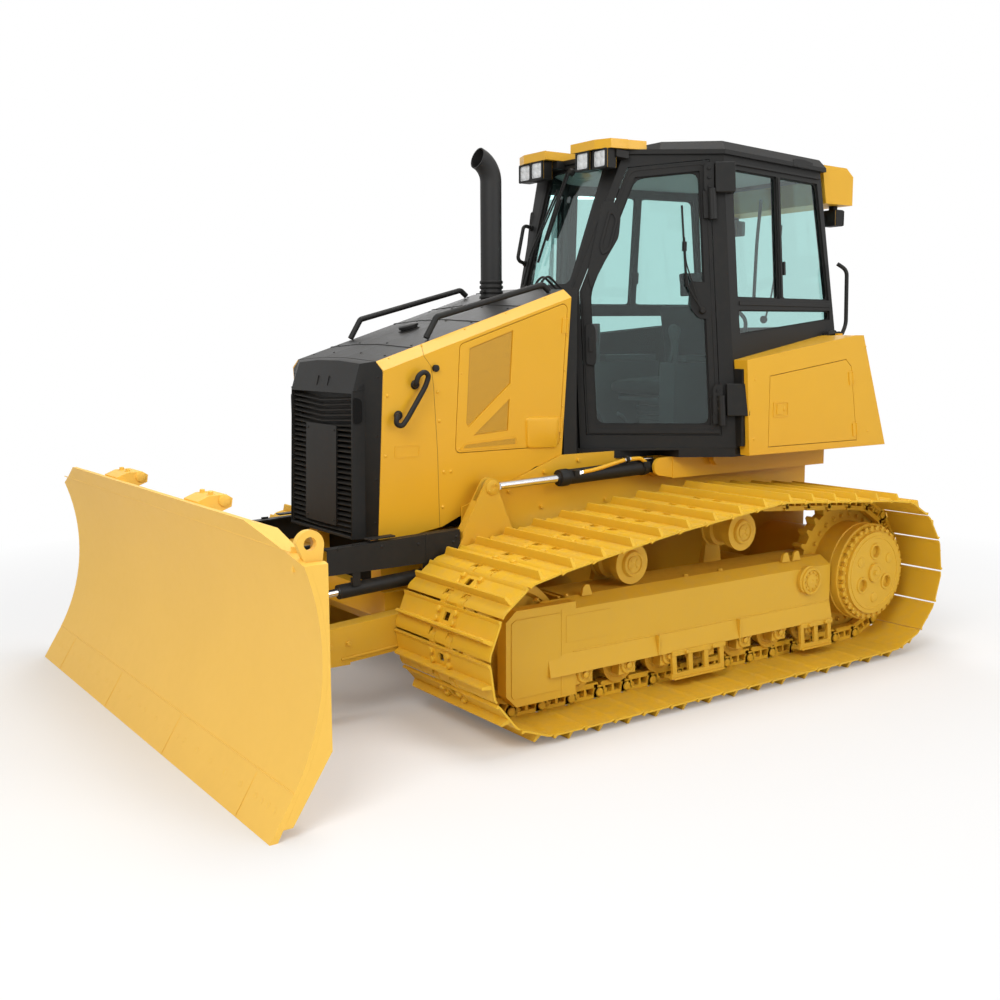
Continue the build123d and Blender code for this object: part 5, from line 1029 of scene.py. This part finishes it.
def draw_door_wiper(shape):
    at = DOOR_WALL.over
    DOOR_WALL.plate(shape, [(-708, 2194), (-788, 2190), (-806, 2160), (-812, 2010), (-800, 1984),
                            (-752, 1984), (-714, 2040)], -14, 2, 22)
    shape.turned(at(-766, 2030, 2), DOOR_WALL.out, [(0, 20), (10, 20), (14, 15), (24, 13)], 20)
    for radius, bend, sides, *route in (
            (5, 30, 8, (-768, 2022, 20), (-700, 2165, 18), (-688, 2330, 14)),
            (4, 30, 8, (-757, 2036, 20), (-694, 2300, 14), (-690, 2440, 10)),
            (7, 5, 6, (-682, 2617, 0), (-695, 2166, 0))):
        shape.bar([at(*point) for point in route], radius, bend, sides)
    DOOR_WALL.plate(shape, [(-679, 2617), (-687, 2617), (-700, 2166), (-692, 2166)], -11, -2)
    middle, half = at(-690, 2390, 2), Vector((12, 12, 26))
    shape.block(middle - half, middle + half, 5)


def draw_window_trim(shape):
    for outline, corner in zip(QUARTER_WINDOWS, (26, 40, 16)):
        draw_seal(shape, QUARTER_WALL, outline, -0.2, 7, GLASS_BACK, -12, corner)
    for outline, low, high, corner in (
            # drip rail, post and the sill between the windows
            ([(-940, 2850), (-1900, 2852), (-1896, 2866), (-940, 2864)], -0.5, 12, 0),
            (oblong(-1424, 2112, -1440, 2820), -0.5, 5, 0),
            ([(-985, 2062), (-1990, 2066), (-1990, 2088), (-985, 2084)], -0.5, 6, 0),
            # catch of the sliding pane
            (oblong(-1462, 2250, -1482, 2330), -14, 4, 6),
            # fittings on the roof's edge and at the rear lower corner
            ([(-1560, 2902), (-1780, 2902), (-1790, 2940), (-1700, 2950), (-1580, 2946)], -6, 26, 10),
            ([(-1890, 1872), (-1990, 1878), (-2010, 1900), (-1985, 1922), (-1900, 1912)], -4, 40, 12)):
        QUARTER_WALL.plate(shape, outline, low, high, corner)
    shape.bar([QUARTER_WALL.over(*point) for point in ((-1900, 1895, 34), (-2040, 1905, 40),
                                                       (-2070, 1880, 20))], 10, 25, 10)
    # black post that runs down over the fender's front wall
    shape.side_plate(oblong(-912, 1260, -946, 1700), 800, 872)


def draw_front_corner(shape):
    """Rubber round the windshield and the wipers that rest on it."""
    foot, head = Vector((-164, 0, 2150)), Vector((-409, 0, 2900))
    out = WINDSHIELD.out

    def inner(margin):
        """The windshield's outline moved in by a margin, as far back as the glass."""
        rise = Vector((-0.31, 0, 0.95)) * margin
        return [end + Vector((0, y - math.copysign(margin, y), 0)) + rise * way + out * GLASS_BACK
                for end, y, way in ((foot, 238, 1), (head, 285, -1), (head, -285, -1), (foot, -238, 1))]
    shape.frame(rounded(inner(27), 4), rounded(inner(44), 46), out * 5)

    def at(share, y, lift):
        return foot.lerp(head, share) + Vector((0, y, 0)) + out * lift
    for radius, bend, sides, *route in (
            (6, 40, 8, (0.03, -222, 12), (0.28, -214, 22), (0.80, -116, 12)),
            (5, 40, 8, (0.04, -196, 12), (0.30, -190, 22), (0.76, -104, 10)),
            (8, 40, 6, (0.23, -130, 8), (0.68, -96, 8), (0.93, -74, 8)),
            (6, 40, 8, (0.93, -30, 20), (0.70, -60, 22), (0.45, -88, 14)),
            (8, 5, 6, (0.40, -95, 8), (0.72, -62, 8))):
        shape.bar([at(*point) for point in route], radius, bend, sides)
    shape.turned(at(0.93, -30, -4), out, [(0, 24), (22, 22), (30, 16)], 20)
    shape.turned(at(0.03, -210, -4), out, [(0, 26), (16, 24), (24, 16)], 20)


def draw_lamp_housings(shape):
    for x, y in FRONT_LAMPS:
        front = x + 34
        shape.block((x - 36, y - 58, 2818), (front, y + 58, 2934), 6)
        shape.frame(rounded(pane(front, y, 60, 2816, 2924), 10), rounded(pane(front, y, 48, 2828, 2914), 12),
                    (12, 0, 0))
    for side in (1, -1):
        # bracket behind the lamps, under the roof's edge
        shape.sweep([(x, side * y, z) for x, y, z in ((-345, 110, 2880), (-345, 420, 2880), (-420, 440, 2870),
                                                      (-420, 110, 2870))], (0, 0, 42))
        # work lamp at the back
        x, y = -2190, side * 430
        shape.block((x - 42, y - 54, 2592), (x + 38, y + 54, 2694), 8)
        shape.frame(rounded(pane(x - 42, y, 52, 2594, 2692), 10),
                    rounded(pane(x - 42, y, 42, 2604, 2682), 12), (-8, 0, 0))
        shape.block((x - 22, y - 22, 2690), (x + 22, y + 22, 2724), 6)


def draw_lamp_lenses(shape):
    for x, y in FRONT_LAMPS:
        face = x + 34.5
        shape.sweep(rounded(pane(face, y, 49, 2827, 2915), 12), (5, 0, 0))
        for z in (2849, 2893):
            for way in (-23, 23):
                shape.turned((face + 4, y + way, z), AHEAD, [(0, 20), (2, 18), (4, 9)], 16)
    for y in (430, -430):
        shape.sweep(rounded(pane(-2232.5, y, 43, 2603, 2683), 12), (-5, 0, 0))


def draw_lamp_cowls(shape):
    """Folded yellow lips in front of the lamps' pods, and the bolts of the pod at the back."""
    for side in (1, -1):
        path = [(-258, side * 118), (-258, side * 332), (-297, side * 428), (-400, side * 446)]
        for (x0, y0), (x1, y1) in zip(path, path[1:]):
            shape.sweep([(x0, y0, 2923), (x1, y1, 2923), (x1, y1, 2974), (x0, y0, 2974)], (-6, 0, 0))
    shape.bolts([(-2262, y, 2800) for y in (-300, 0, 300)], (-1, 0, 0.1), 16, 7)


def draw_headliner(shape):
    outline = [(-450, 330), (-872, 640), (-1880, 500), (-1880, -500), (-872, -640), (-450, -330)]
    shape.sweep(rounded([(x, y, 2872) for x, y in outline], 60), (0, 0, 22))
    for y in (-330, 330):
        shape.band((-760, y, 2866), UP, [(0, 44), (0, 60), (8, 60), (8, 44)], 24)
        shape.turned((-760, y, 2868), UP, [(0, 30), (6, 40)], 20)


def draw_interior(shape):
    """The monitor, dash, armrests, levers, pedals and rails inside the cab."""
    def across(section, *ways):
        """A bar with a section in side view, run across the cab."""
        shape.loft([[(x, way, z) for x, z in section] for way in ways])

    # monitor on the front pillar, and the dash
    shape.block((-360, -300, 2010), (-330, -190, 2100), 6)
    shape.block((-330, -330, 1860), (-235, 330, 1960), 24)
    across([(-400, 1700), (-240, 1700), (-235, 1990), (-300, 2010), (-380, 1940)], -120, 120)
    for side in (1, -1):
        # armrest with its lever, and the rail behind the seat
        y = side * 370
        shape.loft([[(x, y + side * w, z) for w, z in ((-60, 1735), (60, 1735), (56, 1772), (-56, 1772))]
                    for x in (-1340, -900)])
        shape.turned((-860, y, 1860), (0.15, 0, 1), [(0, 13), (8, 26), (40, 32), (78, 30), (96, 18)], 18)
        shape.bar([(-820, y, 1730), (-848, y, 1800), (-860, y, 1870)], 12, 20, 10)
        shape.bar([(-1500, side * 300, 1560), (-1540, side * 300, 1990), (-1545, side * 210, 2060)],
                  13, 40, 10)
        # pedal
        across([(-500, 1380), (-420, 1500), (-408, 1494), (-488, 1372)], side * 120 - 45, side * 120 + 45)
    # the monitor's arm, the grab rail and the brake's stem
    for radius, bend, sides, *route in (
            (10, 30, 8, (-345, -300, 2050), (-330, -340, 2000), (-300, -345, 1850)),
            (11, 60, 8, (-1420, 470, 2100), (-1380, 520, 2450), (-1380, 545, 2700)),
            (12, 30, 8, (-640, 250, 1330), (-560, 250, 1420), (-520, 250, 1440))):
        shape.bar(route, radius, bend, sides)


class BULLDOZER_OT_cab(bpy.types.Operator):
    """Build the cab's seals, hinges, wipers, lamps, headliner and what stands inside it"""

    bl_idname = "bulldozer.cab"
    bl_label = "Cab"

    def execute(self, context):
        for name, draw, body, bevel in (("cab_door_trim", draw_door_trim, "side_cab_door", 1.5),
                                        ("cab_door_hinges", draw_door_hinges, "side_cab_door", 0),
                                        ("cab_door_wiper", draw_door_wiper, "side_cab_door", 0),
                                        ("cab_hinge_blocks", draw_hinge_blocks, "tractor", 4),
                                        ("cab_window_trim", draw_window_trim, "tractor", 1.5)):
            both_sides(name, draw, body, "black_paint", bevel=bevel)
        for name, draw, slot, finish, bevel in (
                ("windshield_trim", draw_front_corner, "black_paint", None, 0),
                ("lamp_housings", draw_lamp_housings, "black_paint", None, 2),
                ("lamp_lenses", draw_lamp_lenses, "lamp_body", "lens", 0),
                ("lamp_cowls", draw_lamp_cowls, "body_yellow", None, 1),
                ("cab_headliner", draw_headliner, "console_plastic", "headliner", 3),
                ("cab_interior", draw_interior, "console_plastic", None, 4)):
            one_piece(name, draw, "tractor", slot, finish, bevel)
        return {"FINISHED"}


# ---------------------------------------------------------------- seat

CUSHION_CELLS = 14                  # faces along each side of a cushion
CUSHION_FLAT = 0.55                 # the middle share of it that the rolled edge leaves alone
CUSHION_ROLL = 2.2
CUSHION_PULL = 0.05                 # how far its sides pull in between the corners
SEAM_DEPTH = 0.010
SEAM_WIDTH = 0.055


def cushion_height(u, v, thick, crown, seams):
    """Height of a cushion's top and of its underside, in metres; u and v run from -1 to 1."""
    lift = thick / 2 * (1 - max(0, max(abs(u), abs(v)) - CUSHION_FLAT) ** 2 * CUSHION_ROLL)
    top = lift + crown / 1000 * (1 - u * u) * (1 - v * v)
    for across, place in seams:
        top -= SEAM_DEPTH * math.exp(-(((u if across == "u" else v) - place) / SEAM_WIDTH) ** 2)
    return {1: top, -1: -lift}


def cushion(name, centre, size, lean, crown, seams):
    """A crowned pad that swells between its seams, its sides pulled in."""
    width, depth, thick = (v / 1000 for v in size)
    mesh = bmesh.new()
    cells = CUSHION_CELLS
    tilt = Matrix.Rotation(math.radians(lean), 4, "Y")
    rows = {}
    for i in range(cells + 1):
        for j in range(cells + 1):
            u, v = i / cells * 2 - 1, j / cells * 2 - 1
            squeeze = 1 - CUSHION_PULL * (1 - abs(u * v)) * max(abs(u), abs(v)) ** 6
            for face, height in cushion_height(u, v, thick, crown, seams).items():
                point = Vector((u * depth / 2 * squeeze, v * width / 2 * squeeze, height))
                rows[face, i, j] = mesh.verts.new(tilt @ point)
    for face in (1, -1):
        for i in range(cells):
            for j in range(cells):
                corners = [rows[face, i, j], rows[face, i + 1, j], rows[face, i + 1, j + 1],
                           rows[face, i, j + 1]]
                mesh.faces.new(corners if face > 0 else corners[::-1])
    rim = [(i, 0) for i in range(cells)] + [(cells, j) for j in range(cells)] \
        + [(i, cells) for i in range(cells, 0, -1)] + [(0, j) for j in range(cells, 0, -1)]
    for (i0, j0), (i1, j1) in with_next(rim):
        mesh.faces.new((rows[1, i0, j0], rows[-1, i0, j0], rows[-1, i1, j1], rows[1, i1, j1]))
    bmesh.ops.recalc_face_normals(mesh, faces=mesh.faces)
    bmesh.ops.translate(mesh, vec=Vector(centre) / 1000, verts=mesh.verts)
    piece = new_piece(name, mesh, "seat_fabric")
    smooth = piece.modifiers.new("soft", "SUBSURF")
    smooth.levels = smooth.render_levels = 1
    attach(piece, "tractor")
    return piece


def draw_seat_base(shape):
    """The seat's foot, its bellows, the pan, and the stems of the back and the headrest."""
    shape.block((-1330, -190, 1260), (-970, 190, 1300), 20)
    for k in range(6):
        z, inset = 1304 + k * 30, 14 * (k % 2)
        shape.block((-1300 + inset, -165 + inset, z), (-1000 - inset, 165 - inset, z + 28), 40)
    shape.block((-1350, -215, 1486), (-900, 215, 1512), 30)
    for side in (1, -1):
        shape.bar([(-1380, side * 205, 1505), (-1420, side * 215, 1560), (-1440, side * 215, 1700)],
                  16, 30, 10)
        shape.bar([(-1392, side * 60, 2080), (-1400, side * 60, 2170)], 8, 5, 8)


class BULLDOZER_OT_seat(bpy.types.Operator):
    """Build the operator's seat from its padded cushions and its sprung base"""

    bl_idname = "bulldozer.seat"
    bl_label = "Seat"

    def execute(self, context):
        parts = [
            cushion("seat_cushion", (-1120, 0, 1572), (480, 500, 100),
                    0, 16, (("v", -0.6), ("v", 0.6), ("u", 0.1))),
            cushion("seat_back", (-1345, 0, 1845), (470, 500, 92),
                    -82, 14, (("v", -0.6), ("v", 0.6), ("u", -0.35))),
            cushion("seat_headrest", (-1395, 0, 2222), (270, 150, 84), -84, 10, (("v", 0.0),)),
            one_piece("seat_base", draw_seat_base, "tractor", "seat_fabric", "console_plastic", bevel=3)]
        for part in parts:
            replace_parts(part, "operator_seat")
        return {"FINISHED"}


# ---------------------------------------------------------------- fenders and rear

def tank_back(z):
    """x of the rear tank's sloping back at this height."""
    return -2310 + (z - 1206) * (248 / 684)


def draw_fender_fittings(shape):
    # bolts at the fender's corners, and the lip along its foot
    shape.rivets([(x, 899.5, z) for x, z in ((-985, 1300), (-985, 1640), (-2010, 1300), (-1960, 1820))],
                 OUTWARD, 8)
    shape.side_plate(oblong(-950, 1208, -2180, 1216), 896, 903)
    shape.block((-2000, 660, 1888), (-1960, 700, 1902), 8)
    shape.turned((-2150, 780, 1560), (-0.4, 0.5, 0.2), [(0, 12), (4, 12), (7, 8)], 12)
    # bracket under the fender's front corner
    shape.side_plate([(-930, 1206), (-960, 1206), (-960, 1130), (-930, 1160)], 600, 640)


def draw_fender_latch(shape):
    shape.frame(rounded([(x, 900, z) for x, z in oblong(-1141, 1508, -1270, 1418)], 8),
                rounded([(x, 900, z) for x, z in oblong(-1149, 1500, -1262, 1426)], 6), (0, 4, 0))
    shape.side_plate(oblong(-1172, 1492, -1215, 1434), 899.5, 905)
    shape.turned((-1240, 899.5, 1463), OUTWARD, [(0, 14), (3, 14), (3, 9), (6, 9)], 18)


def draw_rear_fittings(shape):
    shape.rivets([(-2040, y, 1893) for y in (520, -520)], UP, 9)
    # filler neck with its cap, and breather, on the tank's sloping back
    slope = Vector((-0.94, 0, 0.34))
    shape.turned((-2150, -330, 1648), slope, [(0, 62), (10, 62), (12, 50), (24, 50), (26, 60), (44, 60),
                                              (48, 52)], 28)
    shape.turned((-2150, 330, 1648), slope, [(0, 40), (8, 40), (10, 32), (30, 30)], 24)
    shape.bolts([(tank_back(z), y, z) for y in (600, -600) for z in (1260, 1500, 1740)], slope, 24, 12)
    # louvres of the tank's guard
    for z in range(1300, 1505, 34):
        x = tank_back(z)
        shape.sweep([(x, -190, z), (x - 14, -190, z + 4), (x - 12, -190, z + 12), (x + 3, -190, z + 10)],
                    (0, 380, 0))


def draw_rear_black(shape):
    # handles and the boxes of the tail lamps
    for side in (1, -1):
        shape.bar([(-2060, side * 640, 1900), (-2095, side * 640, 1960), (-2085, side * 640, 2300),
                   (-2040, side * 600, 2340)], 13, 40, 10)
        x, y = tank_back(1330), side * 720
        shape.block((x - 26, y - 60, 1290), (x + 60, y + 60, 1380), 8)
    # rear wiper
    shape.turned((-2030, 0, 2000), (-1, 0, 0.13), [(0, 26), (14, 26), (20, 16), (30, 14)], 20)
    shape.bar([(-2052, 0, 2003), (-2040, 60, 2160), (-2004, 150, 2480)], 6, 40, 8)
    shape.bar([(-2034, 100, 2200), (-1986, 178, 2610)], 8, 10, 6)


def draw_tail_lenses(shape):
    for y in (720, -720):
        shape.sweep(rounded(pane(tank_back(1330) - 26.5, y, 50, 1300, 1370), 10), (-5, 0, 0))


class BULLDOZER_OT_rear(bpy.types.Operator):
    """Build the fenders' latches and lips, the tank's cap and louvres, the rear handles and tail lamps"""

    bl_idname = "bulldozer.rear"
    bl_label = "Fenders and rear"

    def execute(self, context):
        both_sides("fender_fittings", draw_fender_fittings, "tractor", "body_yellow")
        both_sides("fender_door_latch", draw_fender_latch, "side_fender_door", "body_yellow", bevel=1)
        one_piece("rear_fittings", draw_rear_fittings, "tractor", "body_yellow")
        one_piece("rear_handles", draw_rear_black, "tractor", "black_paint")
        one_piece("tail_lenses", draw_tail_lenses, "tractor", "lamp_body", "tail_lens")
        return {"FINISHED"}


# ---------------------------------------------------------------- cylinders and push frame

def draw_lift_black(shape):
    """Head gland, bands and port blocks of the lift cylinder."""
    start, end = Vector((-560, 522, 1142)), Vector((600, 522, 1105))
    way = (end - start).normalized()
    for along, profile in ((640, [(0, 40), (0, 46), (6, 48), (44, 48),
                                  (50, 46), (60, 46), (62, 38), (62, 30)]),
                           (70, [(0, 40), (0, 46), (30, 46), (30, 40)])):
        shape.band(start + way * along, way, profile, 36)
    shape.turned(start + way * 700, way, [(0, 34), (6, 33), (8, 27)], 32)
    half = Vector((18, 16, 16))
    for along in (604, 96):
        port = start + way * along + Vector((0, 36, 22))
        shape.block(port - half, port + half, 4)
    shape.band((-322, 560, 1198), (1, 0, -0.1), [(-9, 12), (-9, 20), (9, 20), (9, 12)], 20)


def draw_lift_pipe(shape):
    shape.bar([(6, 561, 1146), (-96, 570, 1158), (-240, 562, 1184), (-320, 560, 1198), (-430, 556, 1198),
               (-464, 560, 1172)], 11, 50, 12)


def draw_lift_steel(shape):
    """Union nuts along the pipe."""
    for p, q in (((34, 559, 1142), (2, 561, 1147)), ((-300, 561, 1194), (-312, 560, 1196)),
                 ((-332, 560, 1199), (-346, 560, 1199))):
        axis = Vector(q) - Vector(p)
        waist = axis.length * 0.55
        shape.turned(p, axis, [(0, 15), (waist, 15), (waist, 12.5), (axis.length, 12.5)], 6)
    shape.bar([(-420, 540, 1192), (-540, 536, 1188)], 8, 5, 10)


def draw_pin_plates(shape):
    """Pin ends and their keeper plates where the lift cylinders join the push frame."""
    x, z = 600, 1105
    for y, way in ((549.5, 1), (494.5, -1)):
        shape.turned((x, y, z), (0, way, 0), [(0, 40), (5, 39), (8, 34), (8, 12), (5, 10)], 28)
        shape.bolts([(x + 24, y + way * 7, z - 18), (x - 22, y + way * 7, z + 16)], (0, way, 0), 14, 8)
    for y in (541, 496):
        shape.side_plate([(700, 900), (760, 905), (820, 790), (770, 780)], y, y + 9.5)
    shape.bar([(1500, 552, 330), (1200, 552, 350), (700, 552, 430)], 6, 30, 6)
    shape.bolts([(1560, 549, 400), (1460, 549, 405)], OUTWARD, 26, 14)


def draw_barrel_ears(shape):
    """The outer end of the lift cylinder's rear pin."""
    shape.turned((-560, 549, 1142), OUTWARD, [(0, 26), (6, 26), (10, 21), (16, 20), (19, 14)], 20)


def draw_guard_fittings(shape):
    """Bolts, lip and seam of the angle cylinder's guard."""
    shape.rivets([(x, 544, 860 - 0.05 * (1200 - x)) for x in (840, 1050, 1260, 1500)] + [(822, 544, 868)],
                 OUTWARD, 9)
    shape.side_plate([(1180, 902), (1330, 898), (1330, 906), (1180, 910)], 492, 540)
    shape.side_plate(oblong(1000, 748, 1008, 900), 543.5, 546)


class BULLDOZER_OT_hydraulics(bpy.types.Operator):
    """Build the pipes, fittings, glands and pin plates of the cylinders"""

    bl_idname = "bulldozer.hydraulics"
    bl_label = "Hydraulics"

    def execute(self, context):
        for name, draw, body, slot, bevel in (
                ("lift_cylinder_fittings", draw_lift_black, "side_lift_barrel", "black_paint", 1),
                ("lift_cylinder_pipe", draw_lift_pipe, "side_lift_barrel", "body_yellow", 0),
                ("lift_cylinder_unions", draw_lift_steel, "side_lift_barrel", "chrome_rod", 0),
                ("lift_pin_plates", draw_pin_plates, "push_frame", "track_frame_yellow", 0),
                ("lift_rear_pins", draw_barrel_ears, "tractor", "black_paint", 0),
                ("angle_guard_fittings", draw_guard_fittings, "side_angle_barrel", "black_paint", 1)):
            both_sides(name, draw, body, slot, bevel=bevel)
        return {"FINISHED"}


# ---------------------------------------------------------------- blade

def blade_face(z):
    """x of the blade's face at this height, on the circle through three of its points."""
    a, b, c = Vector((2253, 1170)), Vector((2129, 640)), Vector((2264, 168))
    turns = ((a, b, c), (b, c, a), (c, a, b))
    size = 2 * sum(p.x * (q.y - r.y) for p, q, r in turns)
    centre = Vector((sum(p.length_squared * (q.y - r.y) for p, q, r in turns) / size,
                     sum(p.length_squared * (r.x - q.x) for p, q, r in turns) / size))
    radius = (a - centre).length
    return centre.x - math.sqrt(max(radius ** 2 - (z - centre.y) ** 2, 0))


def draw_blade_bolts(shape):
    """Flush bolt heads along the cutting edge."""
    run, rise = 101, 168                # of the edge, from its upper line at x 2264 down to the ground
    spots = (40, 200, 360, 500, 570, 730, 890, 1050, 1210, 1360, 1420, 1480, 1540)
    for y in (side * spot for side in (-1, 1) for spot in spots):
        shape.turned((2264 + run * 0.42, y, rise * 0.58), (rise, 0, run),
                     [(-1, 15), (0.6, 15), (0.9, 12), (0.3, 11), (0.3, 3)], 20)


def draw_blade_welds(shape):
    """Weld runs on the face: under the top bar, and over the cutting edge."""
    for z, reach, size in ((1085, 1540, 3.0), (176, 1616, 4.0)):
        x = blade_face(z) - 1
        shape.bar([(x, -reach, z), (x, reach, z)], size, 1, 8)
    # seams between the edge's five lengths
    for y in (-430, 430, -1290, 1290):
        shape.sweep([(2264.5, y - 1.5, 166), (2363.6, y - 1.5, 5), (2364.7, y - 1.5, 6),
                     (2266, y - 1.5, 167)], (0, 3, 0))


def draw_blade_lugs(shape):
    """Brackets welded behind the top of the blade."""
    x = 2030
    for y0, y1 in ((-800, -590), (390, 560)):
        middle, width = (y0 + y1) / 2, y1 - y0
        shape.side_plate([(2195, 1148), (2195, 1164), (x + 110, 1186), (x + 30, 1188), (x, 1168),
                          (x + 6, 1130), (x + 60, 1110), (2150, 1100)], y0, y1)
        shape.turned((x + 40, y0 - 10, 1160), OUTWARD,
                     [(0, 20), (4, 28), (width + 16, 28), (width + 20, 20)], 20)
        shape.bolts([(x + 90, middle + way, 1186) for way in (-50, 50)], UP, 26, 16)
        shape.side_plate([(2100, 1120), (2180, 1120), (2180, 1165), (2100, 1192)], y0 + 30, y0 + 44)
    # gusset beside the lifting eye
    shape.side_plate([(2100, 1000), (2190, 1000), (2190, 1100), (2150, 1090)], 1500, 1512)
    # stiffener weld runs behind
    for y in (1300, 950, 600, -584, -934, -1284):
        shape.bar([(2110, y, 250), (2095, y, 900)], 6, 10, 6)


def draw_tower_fittings(shape):
    """Clamp ring, bolts and block on the tilt tower."""
    shape.band((2012, 60, 948), (0.3, 1, 0), [(-14, 34), (-14, 52), (14, 52), (14, 34)], 28)
    shape.block((1990, 20, 868), (2034, 110, 908), 8)
    shape.bolts([(2014, y, 902) for y in (10, 120)], UP, 20, 16)
    shape.bolts([(2031, y, z) for z in (420, 520, 620, 720) for y in (120, -120)], AHEAD, 26, 14)


class BULLDOZER_OT_blade(bpy.types.Operator):
    """Build the blade's bolts, weld runs, rear brackets and the fittings of its tower"""

    bl_idname = "bulldozer.blade_details"
    bl_label = "Blade"

    def execute(self, context):
        one_piece("cutting_edge_bolts", draw_blade_bolts, "blade", "blade_yellow")
        one_piece("blade_welds", draw_blade_welds, "blade", "blade_yellow")
        one_piece("blade_lugs", draw_blade_lugs, "blade", "blade_yellow", bevel=3)
        one_piece("tower_fittings", draw_tower_fittings, "blade_pivot", "track_frame_yellow", bevel=1.5)
        return {"FINISHED"}


# ---------------------------------------------------------------- stage

LAMPS = (  # name, place, what it points at, power in watts, size in metres
    ("key", (6.5, 5.0, 6.5), (0.8, 0.0, 0.8), 380, 4.0),
    ("side", (-3.5, 9.0, 5.0), (-0.8, 0.0, 1.0), 240, 4.0),
    ("top", (-0.5, 0.5, 9.0), (0.0, 0.0, 0.5), 300, 4.0),
    ("back", (-5.0, -7.0, 6.0), (0.0, 0.0, 1.2), 230, 5.0))
WHITE = (1, 1, 1, 1)


def rays_seen(tree, *kinds):
    """1 for the named kinds of ray, 0 for the others."""
    rays = add_node(tree, "LightPath").outputs
    seen = rays[f"Is {kinds[0]} Ray"]
    for kind in kinds[1:]:
        seen = math_node(tree, "MAXIMUM", seen, rays[f"Is {kind} Ray"])
    return seen


def add_to_scene(name, data):
    thing = bpy.data.objects.new(name, data)
    bpy.context.scene.collection.objects.link(thing)
    return thing


class BULLDOZER_OT_stage(bpy.types.Operator):
    """Set the camera, the lamps, the floor and the even light around them"""

    bl_idname = "bulldozer.stage"
    bl_label = "Stage"

    def execute(self, context):
        stage = context.scene.bulldozer_stage
        context.scene.view_settings.view_transform = "Standard"
        camera = add_to_scene("camera", bpy.data.cameras.new("camera"))
        camera.data.sensor_width = 36
        camera.data.lens = stage.lens
        heading, pitch = stage.camera_heading, stage.camera_pitch
        look = Vector((math.cos(heading) * math.cos(pitch), math.sin(heading) * math.cos(pitch),
                       math.sin(pitch)))
        camera.rotation_mode = "QUATERNION"
        turn = Matrix.Rotation(stage.camera_roll, 4, look)
        aim = look.to_track_quat("-Z", "Y").to_matrix().to_4x4()
        camera.rotation_quaternion = (turn @ aim).to_quaternion()
        camera.location = stage.camera_place
        context.scene.camera = camera

        half = stage.floor_size / 2
        floor = add_to_scene("floor", bpy.data.meshes.new("floor"))
        floor.data.from_pydata([(x, y, 0) for x, y in oblong(-half, -half, half, half)], [], [(0, 1, 2, 3)])
        floor.location.z = -0.0005
        material, tree, shader = new_material("studio_floor")
        feed(tree, shader, {"Base Color": (0.80, 0.80, 0.80, 1), "Roughness": 0.9})
        place = add_node(tree, "NewGeometry").outputs["Position"]
        reach = add_node(tree, "VectorMath", {0: place}, operation="LENGTH").outputs["Value"]
        far = remap(tree, reach, 2.4, 6.0, 0.12, 1.0)
        mix = add_node(tree, "MixShader",
                       {"Fac": times(tree, rays_seen(tree, "Camera", "Transmission"), far)})
        glow = add_node(tree, "Emission", {"Color": WHITE})
        tree.links.new(shader.outputs[0], mix.inputs[1])
        tree.links.new(glow.outputs[0], mix.inputs[2])
        tree.links.new(mix.outputs[0], tree.nodes["Material Output"].inputs["Surface"])
        floor.data.materials.append(material)

        world = bpy.data.worlds.new("studio")
        world.use_nodes = True
        context.scene.world = world
        tree = world.node_tree
        seen = rays_seen(tree, "Camera", "Transmission", "Glossy")
        feed(tree, tree.nodes["Background"], {"Color": WHITE,
                                              "Strength": remap(tree, seen, 0.0, 1.0, stage.sky, 1.0)})

        for name, place, target, power, size in LAMPS:
            lamp = add_to_scene(name, bpy.data.lights.new(name, "AREA"))
            lamp.data.energy = power
            lamp.data.size = size
            lamp.location = place
            lamp.rotation_euler = (Vector(target) - Vector(place)).to_track_quat("-Z", "Y").to_euler()
        return {"FINISHED"}


OPERATORS = (
    BULLDOZER_OT_finishes, BULLDOZER_OT_tracks, BULLDOZER_OT_undercarriage, BULLDOZER_OT_hood,
    BULLDOZER_OT_cab, BULLDOZER_OT_seat, BULLDOZER_OT_rear, BULLDOZER_OT_hydraulics, BULLDOZER_OT_blade,
    BULLDOZER_OT_stage)


class BULLDOZER_PT_panel(bpy.types.Panel):
    """The bulldozer's sizes, colours and pieces"""

    bl_label = "Bulldozer"
    bl_idname = "BULLDOZER_PT_panel"
    bl_space_type = "VIEW_3D"
    bl_region_type = "UI"
    bl_category = "Bulldozer"

    def draw(self, context):
        for attribute, group in GROUPS:
            settings = getattr(context.scene, attribute)
            box = self.layout.box()
            for key in group.__annotations__:
                box.prop(settings, key)
        for operator in OPERATORS:
            self.layout.operator(operator.bl_idname)


def register():
    for attribute, group in GROUPS:
        bpy.utils.register_class(group)
        setattr(bpy.types.Scene, attribute, bpy.props.PointerProperty(type=group))
    for operator in OPERATORS:
        bpy.utils.register_class(operator)
    bpy.utils.register_class(BULLDOZER_PT_panel)


def unregister():
    bpy.utils.unregister_class(BULLDOZER_PT_panel)
    for operator in reversed(OPERATORS):
        bpy.utils.unregister_class(operator)
    for attribute, group in reversed(GROUPS):
        delattr(bpy.types.Scene, attribute)
        bpy.utils.unregister_class(group)


def main():
    register()
    bpy.ops.bulldozer.finishes()
    bpy.ops.bulldozer.tracks()
    bpy.ops.bulldozer.undercarriage()
    bpy.ops.bulldozer.hood()
    bpy.ops.bulldozer.cab()
    bpy.ops.bulldozer.seat()
    bpy.ops.bulldozer.rear()
    bpy.ops.bulldozer.hydraulics()
    bpy.ops.bulldozer.blade_details()
    bpy.ops.bulldozer.stage()


if __name__ == "__main__":
    main()
